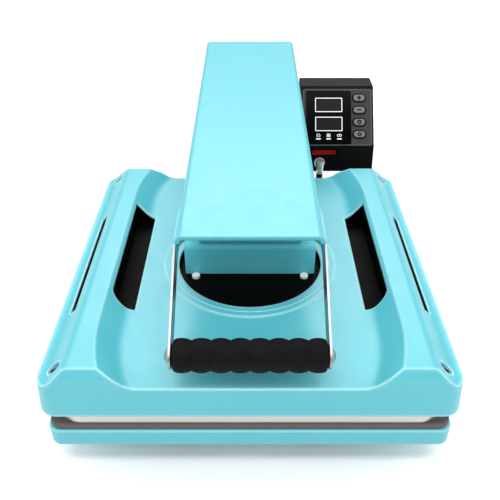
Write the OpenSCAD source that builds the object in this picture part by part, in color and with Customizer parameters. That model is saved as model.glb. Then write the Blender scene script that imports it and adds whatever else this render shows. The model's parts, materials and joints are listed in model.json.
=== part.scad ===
// Flat clamshell heat press: a heated platen under a moulded cover swings up from
// a padded lower plate, and a toggle lever with a foam grip closes it.
// Lengths are in millimetres. Y runs from the grip to the hinge, Z is up.

/* [Base] */
// Height of the rubber feet
foot_h = 12; // [8:1:20]
// Diameter of a rubber foot at the rail
foot_d = 28; // [20:1:30]
// Height of the base rails
rail_h = 22; // [18:1:30]
// Width of the base rails
rail_w = 30; // [30:1:36]
// Wall of the rails and cross tubes
rail_wall = 2; // [1.5:0.5:3]
// Distance between the rails' centre lines
rail_span = 150; // [144:1:160]
// Front ends of the rails behind the platen's front edge
rail_fore = 25; // [15:1:40]
// Thickness of the painted lower plate
lower_t = 20; // [14:1:26]
// Edge of the lower plate beyond the platen
lower_margin = 4; // [3:1:8]
// Edge of the silicone pad beyond the platen
pad_margin = 2; // [0:0.5:3]
// Thickness of the silicone pad
pad_t = 8; // [5:1:12]
// Thickness of the uprights' foot plate
foot_plate_t = 6; // [5:1:8]

/* [Heating head] */
// Width of the heated platen
platen_w = 380; // [370:1:390]
// Depth of the heated platen
platen_d = 380; // [370:1:390]
// Thickness of the heated platen
platen_t = 20; // [17:1:24]
// Corner radius of the platen
platen_r = 28; // [24:1:34]
// Thickness of the insulation board
board_t = 17; // [14:1:20]
// Thickness of the black plate on the board
top_plate_t = 5; // [4:1:7]
// Width of the black plate
top_plate_w = 216; // [190:1:220]
// Depth of the black plate
top_plate_d = 216; // [200:1:230]
// Diameter of the heating element
element_d = 8; // [6:0.5:10]
// Distance between the element's runs
element_pitch = 80; // [70:1:84]

/* [Moulded cover] */
// Gap from the platen's front and rear edges to the cover's rim
cover_margin = 3; // [3:0.5:5]
// Gap from the platen's sides to the cover's rim
cover_side = 5.7; // [5:0.1:7]
// Wall of the cover
cover_wall = 2.5; // [2:0.1:3]
// How far the cover laps down past the platen's top
cover_lap = 4; // [2:1:8]
// Rise of the trough above the black plate
trough_rise = 8; // [6:1:10]
// Rise of the outer shelf above the trough
shelf_rise = 1; // [0.5:0.5:3]
// Rise of the ridges above the trough
ridge_rise = 19; // [17:1:22]
// Width of the flat shelf outside each ridge
shelf_w = 8; // [6:1:10]
// Width of each ridge's outer slope
brow_w = 20; // [18:1:22]
// Width of each ridge's flat top at its middle
ridge_w = 20; // [19:1:23]
// How much a ridge widens inwards towards its ends
ridge_flare = 13.5; // [8:0.5:14]
// Length over which a ridge widens
flare_run = 73; // [60:1:80]
// Width of each ridge's inner slope
bank_w = 22.5; // [20:0.5:25]
// Corner radius of the cover in plan
cover_r = 16; // [14:1:20]
// Outward lean of the cover's walls over their height
cover_draft = 3; // [2:0.5:4]
// Radius of the round window over the black plate
window_r = 81; // [78:1:84]
// Inner radius of the raised ring round the window
ring_in_r = 89; // [87:0.5:91]
// Outer radius of the raised ring round the window
ring_out_r = 97; // [95:0.5:98]
// Height of the raised ring
ring_h = 1; // [0.6:0.2:1.6]
// Length of the vents in the inner slopes
vent_len = 175; // [150:1:180]
// Width of the vents
vent_w = 24; // [20:1:25]
// Corner radius at the front of the vents
vent_r = 20; // [12:1:20]
// Length of the slits in the outer slopes
slit_len = 177; // [150:1:190]
// Width of the slits
slit_w = 6; // [5:0.5:7]
// Inset of the corner screws from the cover's rim
screw_inset = 16.2; // [15.5:0.1:17]
// Diameter of the corner screw pockets
pocket_d = 12; // [10:0.5:13]

/* [Arms and toggle] */
// Height of the platen bracket
bracket_h = 41; // [36:1:46]
// Width of the platen bracket
bracket_w = 146; // [136:1:147]
// Depth of the platen bracket
bracket_d = 44; // [40:1:45]
// Front face of the bracket, in front of the platen's centre
bracket_fore = 14; // [10:1:16]
// Wall of the bracket and the two arms
sheet_t = 4; // [3.5:0.5:5]
// Outer width of the platen arm
arm_w = 112; // [110:2:116]
// Width of the lever beyond the platen arm's, with room for the links
lever_w = 26.6; // [25:0.2:30]
// Lever pivot behind the platen's centre
pivot_back = 80; // [74:1:90]
// Rise of the lever pivot above the platen arm's floor
pivot_rise = 40; // [38:1:43]
// Head hinge behind the platen's rear edge
hinge_back = 182; // [178:1:188]
// Drop of the head hinge below the platen arm's floor
hinge_drop = 5; // [2:1:8]
// Toggle anchor behind the head hinge
anchor_back = 36; // [34:1:38]
// Toggle anchor above the head hinge
anchor_rise = 38; // [36:1:40]
// Centre distance of a toggle link
link_len = 32; // [30:1:34]
// Radius of the head hinge pin
hinge_pin_r = 7; // [6:0.5:8]
// Radius of the lever pivot pin
pivot_pin_r = 6; // [5:0.5:7]
// Radius of the anchor pin and the toggle pins
toggle_pin_r = 5; // [4:0.5:5.5]
// Radial running clearance of a pin
running_gap = 0.05; // [0.02:0.01:0.1]
// Slope of the lever's top towards the rear
lever_slope = 1.32; // [0.5:0.1:2]
// Rise of the lever's top above its pivot
lever_rise = 36; // [35:1:39]
// Reach of the lever in front of its pivot
lever_fore = 184; // [175:1:195]
// Reach of the lever behind the toggle anchor
lever_aft = 22; // [18:1:32]
// Depth of the lever's walls at the pivot
lever_depth = 57; // [55:1:60]
// Depth of the lever's walls at the front
lever_front_depth = 8; // [6:1:12]

/* [Handle] */
// Width of the handle bars
bar_w = 24; // [18:1:26]
// Thickness of the handle bars
bar_t = 2; // [1.5:0.5:3]
// Length of a bar from its bend to the grip
bar_reach = 103; // [95:1:106]
// Angle of the bars below the lever
bar_angle = 30.6; // [28:0.2:32]
// Diameter of the foam grip over its lobes
grip_d = 31; // [27:1:32]
// Depth of the grooves between the lobes
grip_groove = 2; // [1:0.5:3]
// Number of lobes along the grip
grip_lobes = 8; // [6:1:10]
// Diameter of the grip's steel rod
rod_d = 10; // [8:1:12]

/* [Control box] */
// Left side of the box beyond the lever's side
box_left = 3.7; // [3.5:0.1:8]
// Width of the box
box_w = 104; // [100:1:108]
// Height of the box
box_h = 104; // [100:1:108]
// Front of the box behind the platen's edge
box_back = 36; // [34:1:44]
// Height of the lower front face
lip_h = 36; // [34:1:37]
// Backward lean of the lower front face
lip_lean = 6.5; // [4:0.5:8]
// Horizontal run of the sloping panel
slope_run = 57; // [54:1:60]
// Depth of the flat top
box_top_d = 33; // [28:1:40]
// Wall of the box
box_wall = 2; // [1.5:0.5:2.5]
// Thickness of the control panel
panel_t = 2; // [1.5:0.5:2.5]
// Length of a button cap
button_len = 16; // [14:1:17]
// Height of a button cap along the slope
button_h = 9; // [7:0.5:10]
// Distance between the buttons
button_pitch = 17.6; // [17:0.1:18]
// Travel of a button
button_travel = 1.5; // [0.8:0.1:1.5]
// Width of a display
display_w = 39; // [34:1:40]
// Height of a display along the slope
display_h = 21; // [18:1:22]
// Length of the rocker switch
rocker_len = 34; // [28:1:34]
// Height of the rocker switch
rocker_h = 6.6; // [5:0.2:6.8]
// Tilt of the rocker either side of its middle
rocker_tilt = 7; // [4:1:8]
// Diameter of the heater lead
lead_d = 9; // [7:0.5:9]

/* [Pressure setting] */
// Radius of the pressure screw
screw_r = 5; // [4:0.5:6]
// Diameter of the pressure knob
knob_d = 44; // [36:1:50]
// Height of the pressure knob
knob_h = 26; // [20:1:28]
// Clear height under the knob
knob_clear = 28; // [22:1:30]

/* [Hidden] */
$fn = 64;

// Colours
TEAL = [0.50, 0.89, 0.93];
BLACK = [0.07, 0.07, 0.08];
STEEL = [0.72, 0.72, 0.74];
ALUMINIUM = [0.85, 0.83, 0.82];
TAUPE = [0.42, 0.39, 0.38];
PANEL_GREY = [0.30, 0.30, 0.31];
BOARD_TAN = [0.78, 0.74, 0.66];
BRONZE = [0.72, 0.58, 0.30];

// Clearances and small fixed sizes
fix_gap = 0.05;
slack = 0.3;
eps = 0.01;
line_steps = 8;

// Heights of the stack, from the table up
rail_z = foot_h;
lower_z = rail_z + rail_h;
pad_z = lower_z + lower_t;
platen_z = pad_z + pad_t;
board_z = platen_z + platen_t;
top_plate_z = board_z + board_t;
bracket_z = top_plate_z + top_plate_t;
arm_z = bracket_z + bracket_h;

// Pivots of the toggle, as [y, z] with y from the platen's centre
rail_front = platen_d / 2 - rail_fore;
hinge_y = platen_d / 2 + hinge_back;
head_hinge = [hinge_y, arm_z - hinge_drop];
lever_pivot = [pivot_back, arm_z + pivot_rise];
anchor = head_hinge + [anchor_back, anchor_rise];
toggle = anchor + link_len * unit(lever_pivot - anchor);

// Planes across the width, each as a distance from the centre line
arm_out = arm_w / 2;
arm_in = arm_out - sheet_t;
lever_out = arm_out + lever_w / 2;
lever_in = lever_out - sheet_t;
upright_t = 6;
upright_gap = 6;
upright_out = arm_in - upright_gap;
upright_in = upright_out - upright_t;
link_t = 4;
link_gap = 1.5;
link_in = arm_out + link_gap;
link_out = link_in + link_t;

// Lever frame: origin on the lever's top above the pivot, y along the lever
lever_top = lever_pivot[1] + lever_rise;
function to_lever(p) = turn(p - [pivot_back, lever_top], -lever_slope);
function from_lever(p) = turn(p, lever_slope) + [pivot_back, lever_top];
lever_rear = anchor[0] - pivot_back + lever_aft;
lever_tail = 20;
bar_drop = 18;
bar_lap = 46;
bar_inset = 8;
bar_bend = [bar_inset - lever_fore, -bar_drop];
bar_root = bar_bend + [bar_lap, 0];
grip_at = bar_bend - bar_reach * [cos(bar_angle), sin(bar_angle)];
grip_axis = from_lever(grip_at);
bar_out = lever_out + bar_t;

// Cover heights and plan
cover_z = board_z - cover_lap;
trough_z = bracket_z + trough_rise;
shelf_z = trough_z + shelf_rise;
ridge_z = trough_z + ridge_rise;
cover_half_x = platen_w / 2 + cover_side;
cover_half_y = platen_d / 2 + cover_margin;
draft_rate = cover_draft / (shelf_z - cover_z);
shelf_x = cover_half_x - shelf_w;
brow_x = shelf_x - brow_w;
ridge_x = brow_x - ridge_w;
bank_x = ridge_x - bank_w;
vent_edge = 4;
vent_x = ridge_x - vent_edge - vent_w;
vent_fore = 86;
vent_slant = 12;
liner_t = 2;
liner_gap = 2;
slit_edge = 9.5;
slit_x = brow_x + slit_edge;
slit_fore = 97;
post_x = cover_half_x - screw_inset;
post_back = 2;
post_y = cover_half_y - screw_inset - post_back;
post_r = 4.5;
pocket_floor_z = shelf_z - cover_wall;

// The part's origin is at the middle of its footprint
front_reach = max(grip_d / 2 - grip_axis[0], platen_d / 2 + lower_margin,
                  cover_half_y + (shelf_z - cover_z) * draft_rate);
rear_reach = from_lever([lever_rear, -lever_tail])[0];
platen_y = (front_reach - rear_reach) / 2;
rail_short = 10;
rail_aft = rear_reach - rail_short;

// Control box outline, as [y, z]
box_hang = 40;
box_x = lever_out + box_left;
box_floor = arm_z - box_hang;
box_front = platen_d / 2 + box_back;
lip_top = [box_front + lip_lean, box_floor + lip_h];
slope_top = [lip_top[0] + slope_run, box_floor + box_h];
box_rear = slope_top[0] + box_top_d;
box_right = box_x + box_w;
box_outline = [[box_front, box_floor], lip_top, slope_top, [box_rear, box_floor + box_h],
               [box_rear, box_floor]];
lip_angle = atan2(lip_h, lip_lean);
slope_angle = atan2(slope_top[1] - lip_top[1], slope_run);
slope_len = norm(slope_top - lip_top);

// Places on the control panel: x across, y up the slope
panel_edge = 2.5;
panel_low = 1;
panel_high = 5;
panel_r = 3;
panel_len = slope_len - panel_low - panel_high;
button_in = 21;
button_x = box_right - button_in;
button_y = 17.4;
bezel_in = 7.5;
bezel_x = box_x + bezel_in;
bezel_gap = 3.5;
bezel_w = button_x - button_len / 2 - bezel_gap - bezel_x;
bezel_t = 1.2;
bezel_low = 2.8;
bezel_high = 8;
bezel_len = slope_len - bezel_low - bezel_high;
bezel_mid = bezel_x + bezel_w / 2;
display_x = bezel_mid - display_w / 2;
display_y = [21.8, 49.5];
lamp_shift = [-15, -0.5, 14.8];
lamp_x = [for (shift = lamp_shift) bezel_mid + shift];
lamp_y = 10.5;
board_depth = 8;
board_pcb_t = 1.6;
switch_h = 1.4;
switch_w = 6;
pcb_inset = 9;
pcb_r = 2;
button_proud = 2.2;

// Places on the lower front face: x across, y up the face
rocker_in = 32;
rocker_x = box_x + rocker_in;
rocker_down = 7.2;
rocker_y = lip_h - rocker_down;
rocker_pivot = -4;
trunnion_r = 1.5;
tab_t = 1;
tab_half = 4;
tab_out = rocker_h / 2 + slack + tab_t;
rocker_room = 1.8;
bezel_rim = 2.2;
socket_in = 27;
socket_x = box_x + socket_in;
socket_y = 13.5;
socket_r = 7.7;
socket_t = 3;
plug_r = 5.5;
barrel_step = 0.8;
barrel_r = plug_r - barrel_step;
barrel_len = 10;
plug_reach = 10.5;

// Heater lead: down from the plug, then forward into the cover's rear wall
plug_at = [box_front, box_floor] + turn([socket_y, 0], lip_angle) + turn([0, plug_reach], lip_angle);
plug_drop = 12.5;
lead_straight = 2;
gland_len = 4;
gland_face = cover_half_y + cover_draft + gland_len;
lead_bend = plug_at[0] - gland_face;
gland_z = plug_at[1] - plug_drop - lead_straight - lead_bend;

// Plane geometry
function unit(v) = v / norm(v);
function turn(p, a) = [p[0] * cos(a) - p[1] * sin(a), p[0] * sin(a) + p[1] * cos(a)];
function left_of(a, b) = turn(unit(b - a), 90);
function miter(p, n1, n2, w) = p - w * (n1 + n2) / (1 + n1 * n2);

// A line of points moved to its right by w
function inset_line(pts, w) = [
    for (i = [0 : len(pts) - 1])
        let (n1 = left_of(pts[max(i - 1, 0)], pts[max(i, 1)]))
        let (n2 = left_of(pts[min(i, len(pts) - 2)], pts[min(i + 1, len(pts) - 1)]))
        miter(pts[i], n1, n2, w)
];

// A clockwise loop of points moved inwards by w
function inset_loop(pts, w) = [
    for (i = [0 : len(pts) - 1])
        let (a = pts[(i + len(pts) - 1) % len(pts)], b = pts[i], c = pts[(i + 1) % len(pts)])
        miter(b, left_of(a, b), left_of(b, c), w)
];

// An arc of radius r in the corner a, b, c
function corner_arc(a, b, c, r, steps) =
    let (u = unit(a - b), v = unit(c - b), half = acos(u * v) / 2)
    let (o = b + unit(u + v) * r / sin(half), s = b + u * r / tan(half) - o)
    let (e = b + v * r / tan(half) - o, a0 = atan2(s[1], s[0]))
    let (sweep = (atan2(e[1], e[0]) - a0 + 540) % 360 - 180)
    [for (k = [0 : steps]) o + r * [cos(a0 + sweep * k / steps), sin(a0 + sweep * k / steps)]];

// A line of points with its inner corners rounded
function rounded_line(pts, radii, steps) = [
    for (i = [0 : len(pts) - 1])
        each radii[i] <= 0 ? [pts[i]] : corner_arc(pts[i - 1], pts[i], pts[i + 1], radii[i], steps)
];

// A half outline together with its mirror image
function both_halves(pts) = concat([for (i = [len(pts) - 1 : -1 : 1]) [-pts[i][0], pts[i][1]]], pts);

// Placing and extruding
module place() { translate([0, platen_y, 0]) children(); }
module both_sides() { for (s = [0, 1]) mirror([s, 0, 0]) children(); }
module four_corners(x, y) { for (sx = [-1, 1], sy = [-1, 1]) translate([sx * x, sy * y, 0]) children(); }
module extrude_x(x0, x1) { translate([x0, 0, 0]) rotate([90, 0, 90]) linear_extrude(x1 - x0) children(); }
module extrude_y(y0, y1) { translate([0, y1, 0]) rotate([90, 0, 0]) linear_extrude(y1 - y0) children(); }
module rod_x(p, r, x0, x1) { translate([x0, p[0], p[1]]) rotate([0, 90, 0]) cylinder(r = r, h = x1 - x0); }
module rod_y(x, z, r, y0, y1) { translate([x, y1, z]) rotate([90, 0, 0]) cylinder(r = r, h = y1 - y0); }
module rod_z(x, y, r, z0, z1) { translate([x, y, z0]) cylinder(r = r, h = z1 - z0); }
module hex_z(x, y, r, z0, z1) { translate([x, y, z0]) cylinder(r = r, h = z1 - z0, $fn = 6); }
module box_from(p, q) { translate(p) cube(q - p); }
module at_lever() { translate([0, pivot_back, lever_top]) rotate([lever_slope, 0, 0]) children(); }
module at_slope() { translate([0, lip_top[0], lip_top[1]]) rotate([slope_angle, 0, 0]) children(); }
module at_lip() { translate([0, box_front, box_floor]) rotate([lip_angle, 0, 0]) children(); }

// A flat rectangle with round corners, centred
module round_rect(w, d, r) {
    square([w - 2 * r, d], center = true);
    square([w, d - 2 * r], center = true);
    for (sx = [-1, 1], sy = [-1, 1]) translate([sx * (w / 2 - r), sy * (d / 2 - r)]) circle(r = r);
}

// A strip with round ends between two points
module strip(p, q, w) {
    translate(p) rotate(atan2(q[1] - p[1], q[0] - p[0])) translate([0, -w / 2]) square([norm(q - p), w]);
    for (c = [p, q]) translate(c) circle(d = w);
}

// Base

module rail(side) {
    color(BLACK) place() difference() {
        translate([side * rail_span / 2, 0, 0]) difference() {
            box_from([-rail_w / 2, -rail_front, rail_z], [rail_w / 2, rail_aft, lower_z]);
            box_from([rail_wall - rail_w / 2, -rail_front - 1, rail_z + rail_wall],
                     [rail_w / 2 - rail_wall, rail_aft + 1, lower_z - rail_wall]);
        }
        foot_bolt_holes();
    }
}
module left_rail() { rail(-1); }
module right_rail() { rail(1); }

// A tube across the base, butted between the rails
module cross_tube(y) {
    inner = (rail_span - rail_w) / 2;
    color(BLACK) place() difference() {
        box_from([-inner, y - rail_w / 2, rail_z], [inner, y + rail_w / 2, lower_z]);
        box_from([-inner - 1, y - rail_w / 2 + rail_wall, rail_z + rail_wall],
                 [inner + 1, y + rail_w / 2 - rail_wall, lower_z - rail_wall]);
    }
}
cross_inset = 35;
cross_fore = 72;
module front_cross_tube() { cross_tube(cross_inset - rail_front); }
module rear_cross_tube() { cross_tube(hinge_y - cross_fore); }

cap_t = 3;
module rail_caps() {
    color(BLACK) place() both_sides() translate([rail_span / 2, 0, 0]) for (end = [0, 1]) {
        y = end == 0 ? -rail_front : rail_aft;
        out = end == 0 ? -cap_t : cap_t;
        plug = [rail_w / 2 - rail_wall - fix_gap, rail_wall + fix_gap];
        box_from([-rail_w / 2, min(y, y + out), rail_z], [rail_w / 2, max(y, y + out), lower_z]);
        box_from([-plug[0], min(y, y - 2 * out), rail_z + plug[1]],
                 [plug[0], max(y, y - 2 * out), lower_z - plug[1]]);
    }
}

foot_taper = 2;
foot_inset = 24;
module rubber_feet() {
    color(BLACK) place() both_sides() for (y = [foot_inset - rail_front, rail_aft - foot_inset])
        translate([rail_span / 2, y, 0])
            cylinder(r1 = foot_d / 2 - foot_taper, r2 = foot_d / 2, h = foot_h);
}

lower_r = 12;
module lower_plate() {
    color(TEAL) place() translate([0, 0, lower_z]) linear_extrude(lower_t)
        round_rect(platen_w + 2 * lower_margin, platen_d + 2 * lower_margin, lower_r);
}

module silicone_pad() {
    color(TAUPE) place() translate([0, 0, pad_z]) linear_extrude(pad_t)
        round_rect(platen_w + 2 * pad_margin, platen_d + 2 * pad_margin, lower_r);
}

// Uprights, hinge and toggle anchor

foot_plate_fore = 40;
foot_plate_short = 2;
foot_plate_aft = rail_aft - foot_plate_short - hinge_y;
foot_plate_r = 8;
foot_bolt_in = [14, 11];
foot_bolt_y = [hinge_y - foot_plate_fore + foot_bolt_in[0], hinge_y + foot_plate_aft - foot_bolt_in[1]];
foot_bolt_r = 3.5;
foot_bolt_head = [7, 5];
foot_bolt_end = 6;
module foot_bolt_holes() {
    for (s = [-1, 1], y = foot_bolt_y)
        rod_z(s * rail_span / 2, y, foot_bolt_r + fix_gap, lower_z - rail_wall - 1,
              lower_z + foot_plate_t + 1);
}
module upright_foot_plate() {
    color(BLACK) place() difference() {
        translate([0, hinge_y + (foot_plate_aft - foot_plate_fore) / 2, lower_z])
            linear_extrude(foot_plate_t)
                round_rect(rail_span + rail_w, foot_plate_fore + foot_plate_aft, foot_plate_r);
        foot_bolt_holes();
    }
}
module foot_plate_bolts() {
    top = lower_z + foot_plate_t;
    color(STEEL) place() for (s = [-1, 1], y = foot_bolt_y) {
        hex_z(s * rail_span / 2, y, foot_bolt_head[0], top, top + foot_bolt_head[1]);
        rod_z(s * rail_span / 2, y, foot_bolt_r, lower_z - rail_wall - foot_bolt_end, top + eps);
    }
}

anchor_eye = 13;
hinge_eye = 18;
slot_room = 3;
heel_fore = 34;
heel_aft = 9;
shoulder = [8, 10];
brow = [13, 12.4];
upright_z = lower_z + foot_plate_t;
module upright_side() {
    difference() {
        union() {
            polygon([[hinge_y - heel_fore, upright_z], [anchor[0] + heel_aft, upright_z],
                     [anchor[0] + anchor_eye, anchor[1]], [anchor[0] - shoulder[0], anchor[1] + shoulder[1]],
                     [hinge_y - brow[0], head_hinge[1] + brow[1]], [hinge_y - hinge_eye, head_hinge[1]]]);
            translate(anchor) circle(r = anchor_eye);
            translate(head_hinge) circle(r = hinge_eye);
        }
        translate(head_hinge) circle(r = hinge_pin_r + fix_gap);
        strip(anchor - [0, slot_room], anchor + [0, slot_room], 2 * (toggle_pin_r + fix_gap));
    }
}
module upright(side) {
    color(BLACK) place() extrude_x(side > 0 ? upright_in : -upright_out,
                                   side > 0 ? upright_out : -upright_in) upright_side();
}
module left_upright() { upright(-1); }
module right_upright() { upright(1); }

pin_proud = 0.8;
bush_wall = 4.5;
module hinge_pin() {
    end = arm_out + pin_proud;
    color(STEEL) place() rod_x(head_hinge, hinge_pin_r, -end, end);
}

module hinge_bushes() {
    color(BRONZE) place() both_sides() difference() {
        rod_x(head_hinge, hinge_pin_r + bush_wall, upright_out, arm_in - slack);
        rod_x(head_hinge, hinge_pin_r + fix_gap, upright_out - 1, arm_in + 1);
    }
}

block_half = 11;
block_drop = 14;
screw_seat = 6;
module anchor_block() {
    base = anchor[1] - block_drop;
    color(STEEL) place() difference() {
        box_from([-upright_in, anchor[0] - block_half, base],
                 [upright_in, anchor[0] + block_half, anchor[1] + block_half]);
        rod_x(anchor, toggle_pin_r + fix_gap, -upright_in - 1, upright_in + 1);
        rod_z(0, anchor[0], screw_r + running_gap, base - 1, base + screw_seat);
    }
}

module anchor_pin() {
    end = link_out + pin_proud;
    color(STEEL) place() rod_x(anchor, toggle_pin_r, -end, end);
}

spacer_wall = 3.5;
module link_spacers() {
    color(STEEL) place() both_sides() difference() {
        rod_x(anchor, toggle_pin_r + spacer_wall, upright_out, link_in - slack);
        rod_x(anchor, toggle_pin_r + fix_gap, upright_out - 1, link_in + 1);
    }
}

nut_drop = 58;
nut_t = 12;
nut_fore = 12;
nut_aft = 8;
nut_z = [anchor[1] - nut_drop, anchor[1] - nut_drop + nut_t];
module nut_plate() {
    color(STEEL) place() difference() {
        box_from([-upright_in, anchor[0] - nut_fore, nut_z[0]], [upright_in, anchor[0] + nut_aft, nut_z[1]]);
        rod_z(0, anchor[0], screw_r + running_gap, nut_z[0] - 1, nut_z[1] + 1);
    }
}

knob_z = upright_z + knob_clear;
module pressure_screw() {
    color(STEEL) place()
        rod_z(0, anchor[0], screw_r, knob_z, anchor[1] - block_drop + screw_seat - slack);
}

knob_flutes = 7;
flute_r = 6;
flute_out = 2.7;
crown_h = 6;
crown_step = 4;
module pressure_knob() {
    color(BLACK) place() translate([0, anchor[0], knob_z]) difference() {
        union() {
            cylinder(d = knob_d, h = knob_h - crown_h);
            translate([0, 0, knob_h - crown_h])
                cylinder(d1 = knob_d - 2 * crown_step, d2 = knob_d / 2, h = crown_h);
        }
        translate([0, 0, -1]) cylinder(r = screw_r + fix_gap, h = knob_h + 2);
        for (k = [1 : knob_flutes]) rotate(k * 360 / knob_flutes)
            translate([knob_d / 2 + flute_out, 0, -1]) cylinder(r = flute_r, h = knob_h + 2);
    }
}

// Heating head

element_edge = 22;
// The element's path: four runs joined by three bends, in a groove of the platen
element_half = platen_w / 2 - element_pitch / 2 - element_edge;
module element_path(r) {
    for (k = [0 : 3]) {
        y = (k - 1.5) * element_pitch;
        translate([-element_half, y, 0]) rotate([0, 90, 0]) cylinder(r = r, h = 2 * element_half);
    }
    for (k = [0 : 2]) {
        side = k % 2 == 0 ? 1 : -1;
        translate([side * element_half, (k - 1) * element_pitch, 0]) rotate(-90 * side)
            rotate_extrude(angle = 180) translate([element_pitch / 2, 0]) circle(r = r);
    }
}
element_z = board_z - element_d / 2 - slack;
groove_w = element_d + 2 * slack;
module element_groove() {
    for (k = [0 : 3]) translate([0, (k - 1.5) * element_pitch])
        square([2 * element_half, groove_w], center = true);
    for (k = [0 : 2]) translate([(k % 2 == 0 ? 1 : -1) * element_half, (k - 1) * element_pitch])
        rotate(k % 2 == 0 ? 0 : 180) intersection() {
            difference() {
                circle(d = element_pitch + groove_w);
                circle(d = element_pitch - groove_w);
            }
            translate([0, -element_pitch]) square(2 * element_pitch);
        }
}

plate_screw = [61, 20];
plate_screw_r = 2.5;
plate_screw_head = [4.5, 3];
driver_slot = [6, 1.2, 2];
// The slot across a screw head whose top is at height z
module driver_cut(z) { translate([0, 0, z]) cube(driver_slot, center = true); }
element_gap = 1.5;
plate_screw_aft = element_pitch / 2 + element_d / 2 + plate_screw_r + element_gap;
plate_screw_z = platen_z + platen_t / 2;
module plate_screw_places() {
    for (s = [-1, 1], y = [-plate_screw[1], plate_screw_aft]) translate([s * plate_screw[0], y, 0]) children();
}
module plate_screw_holes() {
    plate_screw_places() translate([0, 0, plate_screw_z - slack])
        cylinder(r = plate_screw_r + fix_gap, h = bracket_z - plate_screw_z + 1);
}

sensor_r = 2.5;
sensor_len = 45;
sensor_at = [60, platen_z + platen_t * 0.45];
module heat_platen() {
    color(ALUMINIUM) place() difference() {
        translate([0, 0, platen_z]) linear_extrude(platen_t) round_rect(platen_w, platen_d, platen_r);
        translate([0, 0, board_z - groove_w]) linear_extrude(groove_w + 1) element_groove();
        plate_screw_holes();
        rod_y(sensor_at[0], sensor_at[1], sensor_r + fix_gap, platen_d / 2 - sensor_len, platen_d / 2 + 1);
    }
}

module heating_element() {
    color([0.35, 0.33, 0.32]) place() translate([0, 0, element_z]) element_path(element_d / 2);
}

module temperature_sensor() {
    color(STEEL) place()
        rod_y(sensor_at[0], sensor_at[1], sensor_r, platen_d / 2 - sensor_len + 1, platen_d / 2);
}

board_inset = 22;
board_r = 12;
top_plate_r = 10;
module insulation_board() {
    color(BOARD_TAN) place() difference() {
        translate([0, 0, board_z]) linear_extrude(board_t)
            round_rect(platen_w - 2 * board_inset, platen_d - 2 * board_inset, board_r);
        plate_screw_holes();
    }
}

module heater_top_plate() {
    color(BLACK) place() difference() {
        translate([0, 0, top_plate_z]) linear_extrude(top_plate_t)
            round_rect(top_plate_w, top_plate_d, top_plate_r);
        plate_screw_holes();
        both_sides() translate([0, 0, top_plate_z - 1]) linear_extrude(top_plate_t + 2)
            vent_plan(liner_t + liner_gap);
    }
}

module top_plate_screws() {
    color(STEEL) place() plate_screw_places() {
        rod_z(0, 0, plate_screw_r, plate_screw_z, bracket_z + eps);
        difference() {
            rod_z(0, 0, plate_screw_head[0], bracket_z, bracket_z + plate_screw_head[1]);
            driver_cut(bracket_z + plate_screw_head[1]);
        }
    }
}

// Moulded cover

// Half of the cross-section in two lines: the bank up from the trough to the ridge's top,
// and the brow from the ridge's top down to the shelf
over = 20;
bank_r = [22, 2];
brow_r = [10, 12];
least_r = 0.4;
foot_x = bank_x - bank_r[0] / 2;
bank_lap = 4.2;
brow_lap = 1.3;
function bank_line(w) = rounded_line(
    inset_line([[foot_x, trough_z], [bank_x, trough_z], [ridge_x, ridge_z], [brow_x - bank_lap, ridge_z]], w),
    [0, bank_r[0] + w, max(bank_r[1] - w, least_r), 0], line_steps);
function brow_line(w) = rounded_line(
    inset_line([[ridge_x + brow_lap, ridge_z], [brow_x, ridge_z], [shelf_x, shelf_z],
                [cover_half_x + over, shelf_z]], w),
    [0, max(brow_r[0] - w, least_r), brow_r[1] + w, 0], line_steps);
function down_to(z, pts) = concat([[pts[0][0], z]], pts, [[pts[len(pts) - 1][0], z]]);

// Side view: the front and rear faces lean back under the ridges' ends
nose_run = 7.6;
nose_rise = 11;
nose_r = 18;
nose_lift = 13;
face_skip = 0.3;
function cover_side_line(w) =
    let (knee = [cover_half_y + face_skip, ridge_z - nose_rise])
    let (high = knee + [-nose_run, nose_rise] * (nose_rise + nose_lift) / nose_rise)
    let (low = [cover_half_y + face_skip + (knee[1] - cover_z + over) * draft_rate, cover_z - over])
    rounded_line(inset_line([high, knee, low], w), [0, nose_r - w, 0], line_steps);

// A block with round corners whose sides lean out downwards
module drafted_block(w, z0, z1) {
    hx = cover_half_x - w;
    hy = cover_half_y - w;
    r = cover_r - w;
    g0 = (shelf_z - z0) * draft_rate;
    g1 = (shelf_z - z1) * draft_rate;
    extrude_y(r - hy, hy - r) polygon([[-hx - g0, z0], [hx + g0, z0], [hx + g1, z1], [-hx - g1, z1]]);
    extrude_x(r - hx, hx - r) polygon([[-hy - g0, z0], [hy + g0, z0], [hy + g1, z1], [-hy - g1, z1]]);
    four_corners(hx - r, hy - r) translate([0, 0, z0]) cylinder(r1 = r + g0, r2 = r + g1, h = z1 - z0);
}

// Each bank runs straight and then curves inwards at its two ends
flare_r = (flare_run * flare_run + ridge_flare * ridge_flare) / (2 * ridge_flare);
flare_y = cover_half_y - flare_run;
flare_turn = asin((flare_run + over) / (flare_r - bank_w - bank_r[0]));
module bank(w, z0) {
    outline = down_to(z0, bank_line(w));
    axis_x = ridge_x - flare_r;
    extrude_y(-flare_y, flare_y) polygon(outline);
    for (end = [0, 1]) mirror([0, end, 0]) translate([axis_x, flare_y, 0])
        rotate_extrude(angle = flare_turn) translate([-axis_x, 0]) polygon(outline);
}
module brow(w, z0) { extrude_y(-cover_half_y - over, cover_half_y + over) polygon(down_to(z0, brow_line(w))); }

// The top of the cover, drawn in by w, as a solid from height z0 up
module cover_form(w, z0) {
    far = [cover_half_x + over, cover_half_y + over];
    box_from([-far[0], -far[1], z0], [far[0], far[1], trough_z - w]);
    both_sides() {
        bank(w, z0);
        brow(w, z0);
    }
}

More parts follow.
